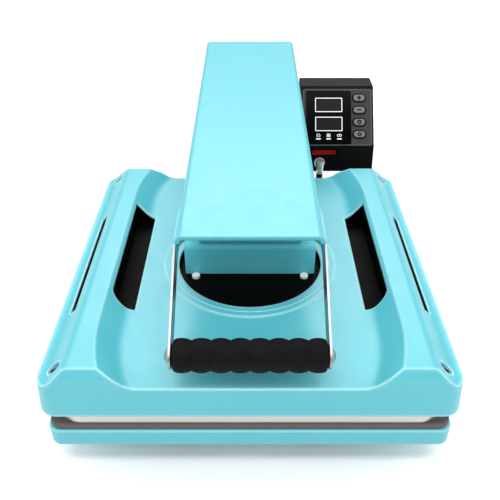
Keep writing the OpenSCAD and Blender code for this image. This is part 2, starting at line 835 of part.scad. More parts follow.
// The cover's volume, drawn in by w, from height z0 up
module cover_volume(w, z0) {
    far = cover_half_x + over;
    side = cover_side_line(w);
    intersection() {
        drafted_block(w, z0, ridge_z + over / 2);
        cover_form(w, z0 - 1);
        extrude_x(-far, far) polygon(both_halves(concat([[0, side[0][1]]], side)));
    }
}

// Plan of the vent on the right side, grown by g: round at the front, slanted at the rear
module vent_plan(g) {
    r = vent_r + g;
    x = [vent_x - g, vent_x + vent_w + g];
    front = -vent_fore - g;
    slant = vent_slant / vent_w;
    rear = vent_len - vent_fore + g * sqrt(1 + slant * slant);
    polygon([[x[0], front + r], [x[1], front + r], [x[1], rear + vent_slant + slant * g],
             [x[0], rear - slant * g]]);
    intersection() {
        translate([x[0], front]) square([x[1] - x[0], r]);
        union() {
            translate([x[0], front]) square([x[1] - x[0] - r, r]);
            translate([x[1] - r, front + r]) circle(r = r);
        }
    }
}

module post_places() { four_corners(post_x, post_y) children(); }

screw_shank_r = 2;
cover_screw_head = [4, 2.6];
cover_screw_len = 11;
module heat_shield_cover() {
    color(TEAL) place() difference() {
        union() {
            difference() {
                cover_volume(0, cover_z);
                cover_volume(cover_wall, cover_z - over / 2);
            }
            intersection() {
                cover_form(cover_wall / 2, cover_z);
                post_places() translate([0, 0, pocket_floor_z])
                    cylinder(d = pocket_d + 2 * cover_wall, h = ridge_z - pocket_floor_z);
            }
            translate([0, 0, trough_z - cover_wall / 2]) linear_extrude(cover_wall / 2 + ring_h) difference() {
                circle(r = ring_out_r);
                circle(r = ring_in_r);
            }
        }
        rod_z(0, 0, window_r, board_z, ridge_z);
        both_sides() translate([0, 0, board_z]) linear_extrude(over + ridge_z - board_z) vent_plan(0);
        both_sides() box_from([slit_x, -slit_fore, board_z],
                              [slit_x + slit_w, slit_len - slit_fore, ridge_z + over]);
        post_places() translate([0, 0, shelf_z]) cylinder(d = pocket_d, h = ridge_z);
        post_places() translate([0, 0, board_z]) cylinder(r = screw_shank_r + slack, h = ridge_z);
        rod_y(socket_x, gland_z, lead_d / 2 + fix_gap, cover_half_y - over, cover_half_y + over);
    }
}

module cover_posts() {
    color(STEEL) place() post_places() difference() {
        rod_z(0, 0, post_r, board_z, pocket_floor_z);
        rod_z(0, 0, screw_shank_r + fix_gap, pocket_floor_z - cover_screw_len - 1, pocket_floor_z + 1);
    }
}

module cover_screws() {
    color(STEEL) place() post_places() difference() {
        union() {
            rod_z(0, 0, screw_shank_r, pocket_floor_z - cover_screw_len, shelf_z + eps);
            rod_z(0, 0, cover_screw_head[0], shelf_z, shelf_z + cover_screw_head[1]);
        }
        driver_cut(shelf_z + cover_screw_head[1]);
    }
}

module vent_liners() {
    color(BLACK) place() both_sides() difference() {
        intersection() {
            translate([0, 0, top_plate_z]) linear_extrude(ridge_z - top_plate_z) vent_plan(liner_t);
            cover_form(cover_wall + slack, cover_z);
        }
        translate([0, 0, top_plate_z + liner_t]) linear_extrude(ridge_z) vent_plan(0);
    }
}

baffle_margin = 4;
module side_baffles() {
    under = cover_wall + slack;
    color(BLACK) place() both_sides() intersection() {
        difference() {
            brow(under, cover_z);
            brow(under + liner_t, cover_z - 1);
        }
        box_from([slit_x - baffle_margin, -slit_fore - baffle_margin, top_plate_z],
                 [slit_x + slit_w + baffle_margin, slit_len - slit_fore + baffle_margin, ridge_z]);
    }
}

// Bracket and platen arm

bracket_bend = 8;
bracket_mid = bracket_d / 2 - bracket_fore;
bracket_bolt_x = 36;
bracket_bolt_head = [5.8, 4];
bracket_bolt_y = bracket_d / 2 - bracket_bend - bracket_bolt_head[0];
bracket_bolt_end = 7;
bracket_t = sheet_t + 1;
bracket_bolt_r = 3;
module bracket_bolt_places() {
    translate([0, bracket_mid, 0]) four_corners(bracket_bolt_x, bracket_bolt_y) children();
}
function channel_line(w, z0) =
    let (h = bracket_d / 2)
    rounded_line(inset_line([[0, arm_z], [h, arm_z], [h, z0]], w), [0, bracket_bend - w, 0], line_steps);
module platen_bracket() {
    color(TEAL) place() difference() {
        extrude_x(-bracket_w / 2, bracket_w / 2) translate([bracket_mid, 0]) difference() {
            polygon(both_halves(channel_line(0, bracket_z)));
            polygon(both_halves(channel_line(bracket_t, bracket_z - 1)));
        }
        bracket_bolt_places() rod_z(0, 0, bracket_bolt_r + fix_gap, bracket_z + 1, arm_z + 1);
    }
}
module bracket_bolts() {
    top = arm_z + sheet_t;
    low = arm_z - bracket_t;
    color(STEEL) place() bracket_bolt_places() {
        hex_z(0, 0, bracket_bolt_head[0], top, top + bracket_bolt_head[1]);
        rod_z(0, 0, bracket_bolt_r, low - bracket_bolt_end, top + eps);
        difference() {
            hex_z(0, 0, bracket_bolt_head[0], low - bracket_bolt_head[1], low);
            rod_z(0, 0, bracket_bolt_r + fix_gap, low - bracket_bolt_end, low + 1);
        }
    }
}

pivot_eye = 16;
ear_eye = 17;
arm_front = bracket_fore - 2;
arm_web_short = 87;
arm_web_end = hinge_y - arm_web_short;
arm_front_h = 17;
arm_crest = [32, 14];
ear_flat = [6, 1.1];
ear_run = 72;
box_bolt_in = [32, 10];
box_bolt_y = [arm_web_end - box_bolt_in[0], arm_web_end - box_bolt_in[1]];
box_bolt_head = [6, 4];
box_bolt_end = 7;
box_bolt_x = 20;
box_bolt_r = 3;
module arm_side() {
    difference() {
        union() {
            polygon([[-arm_front, arm_z], [-arm_front, arm_z + arm_front_h],
                     lever_pivot + [-arm_crest[0], arm_crest[1]], lever_pivot + arm_crest,
                     head_hinge + [-ear_flat[0], ear_eye - ear_flat[1]],
                     head_hinge - [ear_flat[0], ear_eye - ear_flat[1]], [hinge_y - ear_run, arm_z]]);
            translate(head_hinge) circle(r = ear_eye);
            translate(lever_pivot) circle(r = pivot_eye);
        }
        translate(head_hinge) circle(r = hinge_pin_r + running_gap);
        translate(lever_pivot) circle(r = pivot_pin_r + fix_gap);
    }
}
module platen_arm() {
    color(TEAL) place() difference() {
        union() {
            both_sides() extrude_x(arm_in, arm_out) arm_side();
            box_from([-arm_in - eps, -arm_front, arm_z], [arm_in + eps, arm_web_end, arm_z + sheet_t]);
        }
        bracket_bolt_places() rod_z(0, 0, bracket_bolt_r + fix_gap, arm_z - 1, arm_z + sheet_t + 1);
        for (s = [-1, 1], y = box_bolt_y)
            rod_z(s * box_bolt_x, y, box_bolt_r + fix_gap, arm_z - 1, arm_z + sheet_t + 1);
    }
}

pivot_head = [9, 4];
module lever_pivot_pin() {
    color(STEEL) place() {
        rod_x(lever_pivot, pivot_pin_r, -lever_out - slack, lever_out + slack);
        both_sides() rod_x(lever_pivot, pivot_head[0], lever_out + slack, lever_out + slack + pivot_head[1]);
    }
}

module pivot_bushes() {
    color(BRONZE) place() both_sides() difference() {
        rod_x(lever_pivot, pivot_pin_r + bush_wall, arm_out, lever_in - slack);
        rod_x(lever_pivot, pivot_pin_r + fix_gap, arm_out - 1, lever_in + 1);
    }
}

// Control box

box_bracket_t = 5;
box_bracket_edge = 12;
module box_bracket() {
    y0 = box_bolt_y[0] - box_bracket_edge;
    color(BLACK) place() difference() {
        union() {
            box_from([-box_bolt_x - box_bracket_edge, y0, arm_z - box_bracket_t],
                     [box_x, arm_web_end, arm_z]);
            box_from([box_x - box_bracket_t, y0, box_floor + box_bracket_t],
                     [box_x, arm_web_end, arm_z - eps]);
        }
        for (s = [-1, 1], y = box_bolt_y)
            rod_z(s * box_bolt_x, y, box_bolt_r + fix_gap, arm_z - box_bracket_t - 1, arm_z + 1);
    }
}
module box_bolts() {
    low = arm_z - box_bracket_t;
    top = arm_z + sheet_t;
    color(STEEL) place() for (s = [-1, 1], y = box_bolt_y) translate([s * box_bolt_x, y, 0]) {
        hex_z(0, 0, box_bolt_head[0], low - box_bolt_head[1], low);
        rod_z(0, 0, box_bolt_r, low - eps, top + box_bolt_end);
        difference() {
            hex_z(0, 0, box_bolt_head[0], top, top + box_bolt_head[1]);
            rod_z(0, 0, box_bolt_r + fix_gap, top - 1, top + box_bolt_end);
        }
    }
}

panel_opening = 5;
mains_gland = [12, 7, 20];
mains_rise = 30;
mains_at = [box_x + box_w / 2, box_floor + mains_rise];
module control_box() {
    color(BLACK) place() difference() {
        union() {
            difference() {
                extrude_x(box_x, box_right) polygon(box_outline);
                extrude_x(box_x + box_wall, box_right - box_wall) polygon(inset_loop(box_outline, box_wall));
            }
            translate([mains_at[0], box_rear, mains_at[1]]) rotate([-90, 0, 0])
                cylinder(r1 = mains_gland[0], r2 = mains_gland[1], h = mains_gland[2]);
        }
        at_slope() box_from([box_x + panel_opening, panel_opening, -2 * box_wall],
                            [box_right - panel_opening, slope_len - panel_opening, 1]);
        at_lip() translate([rocker_x, rocker_y, 0]) {
            room = [rocker_len / 2 + rocker_room, rocker_h / 2 + slack];
            tab_room = [tab_half + slack, tab_out + fix_gap];
            for (half = [room, tab_room])
                box_from([-half[0], -half[1], -3 * box_wall], [half[0], half[1], 1]);
        }
        at_lip() rod_z(socket_x, socket_y, barrel_r + fix_gap, -3 * box_wall, 1);
        rod_y(mains_at[0], mains_at[1], lead_d / 2, box_rear - 2 * box_wall, box_rear + mains_gland[2] + 1);
    }
}

module button_plan(g) {
    strip([(button_h - button_len) / 2, 0], [(button_len - button_h) / 2, 0], button_h + 2 * g);
}
button_slots = [for (k = [0 : 3]) [button_x, button_y + k * button_pitch]];
module display_windows(g, z0, z1) {
    for (y = display_y)
        box_from([display_x - g, y - g, z0], [display_x + display_w + g, y + display_h + g, z1]);
}

boss_in = 7;
boss_r = 3;
module control_panel() {
    w = box_w - 2 * panel_edge;
    mid = [box_x + box_w / 2, panel_low + panel_len / 2];
    color(PANEL_GREY) place() at_slope() difference() {
        union() {
            translate(mid) linear_extrude(panel_t) round_rect(w, panel_len, panel_r);
            translate(mid) four_corners(w / 2 - boss_in, panel_len / 2 - boss_in)
                translate([0, 0, -board_depth]) cylinder(r = boss_r, h = board_depth + eps);
        }
        for (p = button_slots) translate([p[0], p[1], -1]) linear_extrude(panel_t + 2) button_plan(slack);
        display_windows(slack, -1, panel_t + 1);
    }
}

module display_bezel() {
    color(BLACK) place() at_slope() difference() {
        translate([bezel_mid, bezel_low + bezel_len / 2, panel_t]) linear_extrude(bezel_t)
            round_rect(bezel_w, bezel_len, panel_r);
        display_windows(slack, panel_t - 1, panel_t + bezel_t + 1);
    }
}

module digit_displays() {
    color([0.16, 0.16, 0.17]) place() at_slope() display_windows(0, -board_depth, panel_t + bezel_t - slack);
}

lamp_size = [6.6, 1.8, 0.3];
module indicator_lamps() {
    color("white") place() at_slope() for (x = lamp_x)
        translate([x - lamp_size[0] / 2, lamp_y - lamp_size[1] / 2, panel_t + bezel_t]) cube(lamp_size);
}

// The board lies behind the panel, with a small push switch under each button
module circuit_board() {
    color([0.10, 0.32, 0.16]) place() at_slope() {
        translate([box_x + box_w / 2, slope_len / 2, -board_depth - board_pcb_t])
            linear_extrude(board_pcb_t) round_rect(box_w - 2 * pcb_inset, slope_len - 2 * pcb_inset, pcb_r);
        for (p = button_slots) translate([p[0], p[1], switch_h / 2 - board_depth - eps])
            cube([switch_w, switch_w, switch_h], center = true);
    }
}

module button(k) {
    bottom = -board_depth + switch_h + button_travel + fix_gap;
    color(PANEL_GREY) place() at_slope() translate([button_slots[k][0], button_slots[k][1], bottom])
        linear_extrude(panel_t + button_proud - bottom) button_plan(0);
}
module plus_button() { button(3); }
module minus_button() { button(2); }
module timer_button() { button(1); }
module power_button() { button(0); }

frame_t = 2;
// A rim round the rocker, and a bearing tab either side of it for the trunnions
module rocker_frame() {
    room = [rocker_len + 2 * rocker_room, rocker_h + 2 * slack];
    color(BLACK) place() at_lip() translate([rocker_x, rocker_y, 0]) {
        linear_extrude(frame_t) difference() {
            square(room + [2 * bezel_rim, 2 * tab_t + slack], center = true);
            square(room, center = true);
        }
        for (s = [0, 1]) mirror([0, s, 0]) difference() {
            box_from([-tab_half, room[1] / 2, rocker_pivot - tab_half], [tab_half, room[1] / 2 + tab_t, eps]);
            rod_y(0, rocker_pivot, trunnion_r + running_gap, room[1] / 2 - 1, room[1] / 2 + tab_t + 1);
        }
    }
}

rocker_crest = 7.2;
rocker_valley = 6;
rocker_skirt = 1;
// The rocker's two halves meet in a shallow valley, and one end stands up
module rocker_switch() {
    h = rocker_len / 2;
    color([0.65, 0.03, 0.05]) place() at_lip() translate([rocker_x, rocker_y, rocker_pivot])
        rotate([0, rocker_tilt, 0]) {
            extrude_y(-rocker_h / 2, rocker_h / 2)
                polygon([[h, rocker_skirt], [h, rocker_crest], [0, rocker_valley], [-h, rocker_crest],
                         [-h, rocker_skirt], [0, -trunnion_r]]);
            rod_y(0, 0, trunnion_r, -tab_out, tab_out);
        }
}

module lead_socket() {
    color(STEEL) place() at_lip() {
        rod_z(socket_x, socket_y, socket_r, 0, socket_t);
        rod_z(socket_x, socket_y, barrel_r, -barrel_len, eps);
    }
}

neck_drop = 4;
neck_len = 3;
neck_r = 4.2;
skirt_r = [6, 4.8];
// A short barrel on the socket and an elbow, with a neck and a skirt below it
module lead_plug() {
    color(STEEL) place() {
        at_lip() rod_z(socket_x, socket_y, barrel_r, socket_t, plug_reach);
        translate([socket_x, plug_at[0], plug_at[1]]) {
            rod_z(0, 0, plug_r, -neck_drop, plug_r);
            rod_z(0, 0, neck_r, -neck_drop - neck_len - eps, -neck_drop + eps);
            translate([0, 0, -plug_drop])
                cylinder(r1 = skirt_r[0], r2 = skirt_r[1], h = plug_drop - neck_drop - neck_len);
        }
    }
}

lead_sides = 12;
lead_inside = 10;
gland_wall = 3;
module heater_lead() {
    low = plug_at[1] - plug_drop;
    color(BLACK) place() {
        translate([socket_x, plug_at[0], low - lead_straight])
            cylinder(d = lead_d, h = lead_straight, $fn = lead_sides);
        translate([socket_x, gland_face, gland_z + lead_bend]) rotate([0, 90, 0])
            rotate_extrude(angle = 90) translate([lead_bend, 0]) circle(d = lead_d, $fn = lead_sides);
        translate([socket_x, gland_face, gland_z]) rotate([90, 0, 0])
            cylinder(d = lead_d, h = gland_face - cover_half_y + lead_inside, $fn = lead_sides);
        rod_y(socket_x, gland_z, lead_d / 2 + gland_wall, gland_face - gland_len + slack, gland_face - slack);
    }
}

// Lever and handle

nose_len = 46;
nose_drop = 30;
belly = [66, 30];
tail_run = 22;
module lever_profile() {
    tip = lever_fore;
    c = to_lever(toggle);
    difference() {
        polygon([[-tip, 1], [-tip, -lever_front_depth], [nose_len - tip, -lever_front_depth - nose_drop],
                 [-belly[0], -lever_front_depth - nose_drop], [-belly[1], -lever_depth],
                 [c[0] + tail_run, -lever_depth], [lever_rear, -lever_tail], [lever_rear, 1]]);
        translate(to_lever(lever_pivot)) circle(r = pivot_pin_r + running_gap);
        translate(c) circle(r = toggle_pin_r + fix_gap);
        bar_bolt_holes();
    }
}

lever_bend = 7;
// A downward channel outline with its top edges bent round
module channel(half, drop, r) {
    translate([-half, -drop]) square([2 * half, drop - r]);
    translate([r - half, -drop]) square([2 * (half - r), drop]);
    for (s = [-1, 1]) translate([s * (half - r), -r]) circle(r = r);
}
module lever_arm() {
    deep = lever_depth + over;
    color(TEAL) place() at_lever() intersection() {
        extrude_y(-lever_fore - 1, lever_rear + 1) difference() {
            channel(lever_out, deep, lever_bend);
            translate([0, -sheet_t]) channel(lever_in, deep, lever_bend - sheet_t);
        }
        extrude_x(-lever_out - 1, lever_out + 1) lever_profile();
    }
}

bar_bolt_r = 3;
bar_bolt_head = [6, 0.8];
bar_bolt_nut = [5.5, 4];
bar_bolt_back = [2, 20];
bar_bolt_y = [for (back = bar_bolt_back) bar_root[0] - back];
rod_cap = [8, 4.5];
module bar_bolt_holes() { for (y = bar_bolt_y) translate([y, -bar_drop]) circle(r = bar_bolt_r + fix_gap); }
module handle_bars() {
    color(STEEL) place() at_lever() both_sides() extrude_x(lever_out, bar_out) difference() {
        union() {
            strip(bar_bend, bar_root, bar_w);
            strip(grip_at, bar_bend, bar_w);
        }
        translate(grip_at) circle(d = rod_d + 2 * fix_gap);
        bar_bolt_holes();
    }
}

module dome_head(r, h) {
    ball = (r * r + h * h) / (2 * h);
    intersection() {
        translate([0, 0, h - ball]) sphere(r = ball);
        cylinder(r = r, h = h);
    }
}
module bar_bolts() {
    color(STEEL) place() at_lever() both_sides() for (y = bar_bolt_y) {
        at = [y, -bar_drop];
        rod_x(at, bar_bolt_r, lever_in - bar_bolt_nut[1], bar_out + eps);
        rod_x(at, bar_bolt_head[0], bar_out, bar_out + bar_bolt_head[1]);
        rod_x(at, bar_bolt_nut[0], lever_in - bar_bolt_nut[1], lever_in);
    }
}

module handle_rod() {
    color(STEEL) place() at_lever() {
        rod_x(grip_at, rod_d / 2, -bar_out, bar_out);
        both_sides() translate([bar_out, grip_at[0], grip_at[1]]) rotate([0, 90, 0])
            dome_head(rod_cap[0], rod_cap[1]);
    }
}

// The grip's outline is a row of equal lobes turned about the rod
grip_gap = 0.5;
grip_half = lever_out - grip_gap;
lobe_steps = 6;
function lobe(t) = grip_d / 2 - grip_groove * pow(2 * t - 1, 2);
grip_line = [for (k = [0 : grip_lobes * lobe_steps])
    [lobe((k % lobe_steps) / lobe_steps), grip_half * (2 * k / (grip_lobes * lobe_steps) - 1)]];
module foam_grip() {
    bore = rod_d / 2 + fix_gap;
    color(BLACK) place() at_lever() translate([0, grip_at[0], grip_at[1]]) rotate([0, 90, 0])
        rotate_extrude() polygon(concat([[bore, -grip_half]], grip_line, [[bore, grip_half]]));
}

// Toggle

toggle_head = [8, 3];
pin_short = 0.5;
module toggle_pins() {
    c = to_lever(toggle);
    color(STEEL) place() at_lever() both_sides() {
        rod_x(c, toggle_pin_r, link_out + pin_short, lever_out + eps);
        rod_x(c, toggle_head[0], lever_out, lever_out + toggle_head[1]);
    }
}

link_w = 20;
module toggle_links() {
    color(STEEL) place() both_sides() extrude_x(link_in, link_out) difference() {
        strip(anchor, toggle, link_w);
        translate(anchor) circle(r = toggle_pin_r + running_gap);
        translate(toggle) circle(r = toggle_pin_r + running_gap);
    }
}

left_rail();
right_rail();
front_cross_tube();
rear_cross_tube();
rail_caps();
rubber_feet();
lower_plate();
silicone_pad();
upright_foot_plate();
foot_plate_bolts();
left_upright();
right_upright();
hinge_pin();
hinge_bushes();
anchor_block();
anchor_pin();
link_spacers();
nut_plate();
pressure_screw();
pressure_knob();
heat_platen();
heating_element();
temperature_sensor();
insulation_board();
heater_top_plate();
top_plate_screws();
heat_shield_cover();
cover_posts();
cover_screws();
vent_liners();
side_baffles();
platen_bracket();
bracket_bolts();
platen_arm();
lever_pivot_pin();
pivot_bushes();
box_bracket();
box_bolts();
control_box();
control_panel();
display_bezel();
digit_displays();
indicator_lamps();
circuit_board();
plus_button();
minus_button();
timer_button();
power_button();
rocker_frame();
rocker_switch();
lead_socket();
lead_plug();
heater_lead();
lever_arm();
handle_bars();
bar_bolts();
handle_rod();
foam_grip();
toggle_pins();
toggle_links();
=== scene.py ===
"""Dresses the flat heat press: a finish for every node, soft pieces, fine detail, light and camera."""

import json
import math

import bmesh
import bpy
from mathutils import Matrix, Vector


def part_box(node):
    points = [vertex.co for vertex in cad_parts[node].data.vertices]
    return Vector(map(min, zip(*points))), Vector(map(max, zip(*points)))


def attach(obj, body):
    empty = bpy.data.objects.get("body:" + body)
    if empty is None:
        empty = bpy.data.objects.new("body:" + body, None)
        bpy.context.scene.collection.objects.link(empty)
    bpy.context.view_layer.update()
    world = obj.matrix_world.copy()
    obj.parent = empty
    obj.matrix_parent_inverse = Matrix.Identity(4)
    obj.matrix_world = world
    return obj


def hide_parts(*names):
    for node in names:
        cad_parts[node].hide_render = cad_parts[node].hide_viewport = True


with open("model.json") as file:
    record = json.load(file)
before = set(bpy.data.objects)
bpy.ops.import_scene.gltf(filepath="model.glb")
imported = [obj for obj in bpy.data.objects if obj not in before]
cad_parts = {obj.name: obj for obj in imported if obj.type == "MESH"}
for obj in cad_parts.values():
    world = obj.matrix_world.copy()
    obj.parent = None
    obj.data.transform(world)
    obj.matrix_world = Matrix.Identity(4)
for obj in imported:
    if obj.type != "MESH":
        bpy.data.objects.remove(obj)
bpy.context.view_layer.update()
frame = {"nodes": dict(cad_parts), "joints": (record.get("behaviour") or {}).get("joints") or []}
nodes = frame["nodes"]
joints = {joint["name"]: joint for joint in frame["joints"]}
MM = 0.001
TURN = 2 * math.pi
RIGHT = Vector((1, 0, 0))


# Measures taken from the frame

def middle(node):
    low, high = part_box(node)
    return (low + high) / 2


def reach(node, direction):
    """Least and greatest distance of a node's points along a direction."""
    place = nodes[node].matrix_world
    along = [(place @ vertex.co).dot(direction) for vertex in nodes[node].data.vertices]
    return min(along), max(along)


platen_middle = middle("heat_platen")
panel_out = -Vector(joints["plus_press"]["axis"])
panel_up = panel_out.cross(RIGHT)


# Mesh helpers

# Which way each corner of a rectangle lies, in order round it
CORNERS = ((1, 1), (-1, 1), (-1, -1), (1, -1))


def add_mesh(name, verts, faces, material, smooth=True):
    """Adds a piece with outward normals and one material to the scene."""
    mesh = bpy.data.meshes.new(name)
    mesh.from_pydata([tuple(v) for v in verts], [], faces)
    mesh.validate()
    built = bmesh.new()
    built.from_mesh(mesh)
    bmesh.ops.recalc_face_normals(built, faces=built.faces)
    built.to_mesh(mesh)
    built.free()
    for polygon in mesh.polygons:
        polygon.use_smooth = smooth
    mesh.materials.append(material)
    piece = bpy.data.objects.new(name, mesh)
    bpy.context.scene.collection.objects.link(piece)
    return piece


def ring_faces(rings, count, closed=False):
    """Quads between successive rings of count points, with end caps unless the rings close on themselves."""
    faces = []
    spans = rings if closed else rings - 1
    for i in range(spans):
        j = (i + 1) % rings
        for k in range(count):
            n = (k + 1) % count
            faces.append((i * count + k, i * count + n, j * count + n, j * count + k))
    if not closed:
        faces.append(tuple(reversed(range(count))))
        faces.append(tuple((rings - 1) * count + k for k in range(count)))
    return faces


def merged(shapes):
    """The points and faces of several shapes in one list each."""
    verts = []
    faces = []
    for more_verts, more_faces in shapes:
        shift = len(verts)
        verts += more_verts
        faces += [tuple(index + shift for index in face) for face in more_faces]
    return verts, faces


def circle(count):
    """Cosine and sine at equal steps round a circle."""
    angles = [TURN * k / count for k in range(count)]
    return [(math.cos(a), math.sin(a)) for a in angles]


def round_outline(middle_at, half, radius, steps=8):
    """Points round a rectangle with round corners. Equal halves and radius make a circle."""
    points = []
    for quarter, (side_x, side_y) in enumerate(CORNERS):
        for k in range(steps + 1):
            a = math.radians(90 * quarter + 90 * k / steps)
            x = middle_at[0] + side_x * (half[0] - radius) + radius * math.cos(a)
            y = middle_at[1] + side_y * (half[1] - radius) + radius * math.sin(a)
            points.append((x, y))
    return points


def lathe(name, profile, centre, axis, material, sides):
    """Turns (along, radius) points about a line through centre."""
    side = axis.orthogonal().normalized()
    other = axis.cross(side)
    verts = []
    for along, radius in profile:
        for c, s in circle(sides):
            verts.append(centre + axis * along + (side * c + other * s) * radius)
    return add_mesh(name, verts, ring_faces(len(profile), sides), material)


# Edge rounding: points closer than WELD_GAP join, facets flatter than FLAT_ANGLE become one face,
# and edges sharper than SHARP_ANGLE are rounded
WELD_GAP = 0.002 * MM
FLAT_ANGLE = math.radians(0.4)
SHARP_ANGLE = math.radians(30)
EDGE_SEGMENTS = 3
FACE_WEIGHT = 50


def soften(piece, width):
    """Rounds the sharp edges of a piece without moving its faces."""
    weld = piece.modifiers.new("weld", "WELD")
    weld.merge_threshold = WELD_GAP
    flat = piece.modifiers.new("flatten", "DECIMATE")
    flat.decimate_type = "DISSOLVE"
    flat.angle_limit = FLAT_ANGLE
    bevel = piece.modifiers.new("edges", "BEVEL")
    bevel.width = width
    bevel.segments = EDGE_SEGMENTS
    bevel.limit_method = "ANGLE"
    bevel.angle_limit = SHARP_ANGLE
    bevel.use_clamp_overlap = True
    normals = piece.modifiers.new("normals", "WEIGHTED_NORMAL")
    normals.weight = FACE_WEIGHT


# Material helpers

# Cells of the noise patterns in a metre
CLOUD_CELLS = 14
GLOSS_CELLS = 60
POLISH_CELLS = 120
SPECKLE_CELLS = 700
FOAM_GLOSS_CELLS = 90
SCRATCH_CELLS_ACROSS = 900
SCRATCH_CELLS_ALONG = 14
FLOOR_CELLS = 3

# Part of the noise's range that roughness is spread over
NOISE_LOW = 0.3
NOISE_HIGH = 0.7

# Share of its colour that brushed metal has in the dark and light scratches
SCRATCH_DARK = 0.9
SCRATCH_LIGHT = 1.05

# Cosine of the turn from the face's normal to the rounded one, where the painted edge highlight starts
# and where it is as light as it gets
HIGHLIGHT_STARTS = 0.985
HIGHLIGHT_IS_FULL = 0.91

# Painted highlight colour that an edge is lightened towards, and the rays its rounded normal is taken from
EDGE_HIGHLIGHT_TEAL = (0.52, 0.87, 0.91)
EDGE_SAMPLES = 6


def shade(color, share):
    return tuple(min(1.0, channel * share) for channel in color)


def new_material(name, color, roughness, metallic=0.0, gloss=0.5):
    material = bpy.data.materials.new(name)
    material.use_nodes = True
    shader = material.node_tree.nodes["Principled BSDF"]
    shader.inputs["Base Color"].default_value = (*color, 1)
    shader.inputs["Roughness"].default_value = roughness
    shader.inputs["Metallic"].default_value = metallic
    shader.inputs["Specular IOR Level"].default_value = gloss
    return material, material.node_tree, shader


def noise(tree, scale, detail=3, stretch=(1, 1, 1)):
    """Noise over the object's own metres: scale counts cells in a metre."""
    coords = tree.nodes.new("ShaderNodeTexCoord")
    mapping = tree.nodes.new("ShaderNodeMapping")
    mapping.inputs["Scale"].default_value = stretch
    texture = tree.nodes.new("ShaderNodeTexNoise")
    texture.inputs["Scale"].default_value = scale
    texture.inputs["Detail"].default_value = detail
    tree.links.new(coords.outputs["Object"], mapping.inputs["Vector"])
    tree.links.new(mapping.outputs["Vector"], texture.inputs["Vector"])
    return texture.outputs["Fac"]


def vary_color(tree, shader, factor, low, high):
    mix = tree.nodes.new("ShaderNodeMix")
    mix.data_type = "RGBA"
    mix.inputs["A"].default_value = (*low, 1)
    mix.inputs["B"].default_value = (*high, 1)
    tree.links.new(factor, mix.inputs["Factor"])
    tree.links.new(mix.outputs["Result"], shader.inputs["Base Color"])


def vary_roughness(tree, shader, factor, low, high):
    spread = tree.nodes.new("ShaderNodeMapRange")
    spread.inputs["From Min"].default_value = NOISE_LOW
    spread.inputs["From Max"].default_value = NOISE_HIGH
    spread.inputs["To Min"].default_value = low
    spread.inputs["To Max"].default_value = high
    tree.links.new(factor, spread.inputs["Value"])
    tree.links.new(spread.outputs["Result"], shader.inputs["Roughness"])


def paint_edge_highlights(tree, shader, rounded, most):
    """Painted edge highlight: lightens the colour where the rounded normal leaves the face's own, up to a
    share called most.
    """
    under = shader.inputs["Base Color"].links[0].from_socket
    shape = tree.nodes.new("ShaderNodeNewGeometry")
    turn = tree.nodes.new("ShaderNodeVectorMath")
    turn.operation = "DOT_PRODUCT"
    tree.links.new(rounded, turn.inputs[0])
    tree.links.new(shape.outputs["Normal"], turn.inputs[1])
    share = tree.nodes.new("ShaderNodeMapRange")
    share.inputs["From Min"].default_value = HIGHLIGHT_STARTS
    share.inputs["From Max"].default_value = HIGHLIGHT_IS_FULL
    share.inputs["To Max"].default_value = most
    tree.links.new(turn.outputs["Value"], share.inputs["Value"])
    mix = tree.nodes.new("ShaderNodeMix")
    mix.data_type = "RGBA"
    mix.inputs["B"].default_value = (*EDGE_HIGHLIGHT_TEAL, 1)
    tree.links.new(share.outputs["Result"], mix.inputs["Factor"])
    tree.links.new(under, mix.inputs["A"])
    tree.links.new(mix.outputs["Result"], shader.inputs["Base Color"])


def add_bump(tree, shader, height, distance, edge=0.0, edge_highlight=0.0):
    """Fine relief, and edges shaded as if rounded to a radius where edge is given, with a painted highlight
    by edge_highlight.
    """
    bump = tree.nodes.new("ShaderNodeBump")
    if edge > 0:
        rounding = tree.nodes.new("ShaderNodeBevel")
        rounding.samples = EDGE_SAMPLES
        rounding.inputs["Radius"].default_value = edge
        tree.links.new(rounding.outputs["Normal"], bump.inputs["Normal"])
        if edge_highlight > 0:
            paint_edge_highlights(tree, shader, rounding.outputs["Normal"], edge_highlight)
    bump.inputs["Distance"].default_value = distance
    tree.links.new(height, bump.inputs["Height"])
    tree.links.new(bump.outputs["Normal"], shader.inputs["Normal"])


def coated(name, color, roughness, spread=0.05, cell=1.2, depth=0.02, tint=0.03, gloss=0.5,
           edge=0.0, edge_highlight=0.85):
    """Paint or moulding: a faint cloud in the colour, uneven gloss and a fine orange peel.

    The peel's cell and depth and the edges' radius are in millimetres. edge_highlight is the share of
    painted highlight on the edges.
    """
    material, tree, shader = new_material(name, color, roughness, gloss=gloss)
    vary_color(tree, shader, noise(tree, CLOUD_CELLS), shade(color, 1 - tint), shade(color, 1 + tint))
    vary_roughness(tree, shader, noise(tree, GLOSS_CELLS), roughness - spread, roughness + spread)
    peel = noise(tree, 1 / (cell * MM), detail=2)
    add_bump(tree, shader, peel, depth * MM, edge * MM, edge_highlight)
    return material


def metal(name, color, roughness, along, spread=0.08, depth=0.01):
    """Brushed metal: long scratches along one axis, with their depth in millimetres."""
    material, tree, shader = new_material(name, color, roughness, metallic=1.0)
    stretch = [SCRATCH_CELLS_ACROSS] * 3
    stretch["xyz".index(along)] = SCRATCH_CELLS_ALONG
    scratches = noise(tree, 1.0, detail=4, stretch=stretch)
    vary_roughness(tree, shader, scratches, roughness - spread, roughness + spread)
    vary_color(tree, shader, scratches, shade(color, SCRATCH_DARK), shade(color, SCRATCH_LIGHT))
    add_bump(tree, shader, scratches, depth * MM)
    return material


def polished(name, color, roughness, metallic, least, most):
    """Plated metal whose roughness goes from least to most."""
    material, tree, shader = new_material(name, color, roughness, metallic)
    vary_roughness(tree, shader, noise(tree, POLISH_CELLS), least, most)
    return material


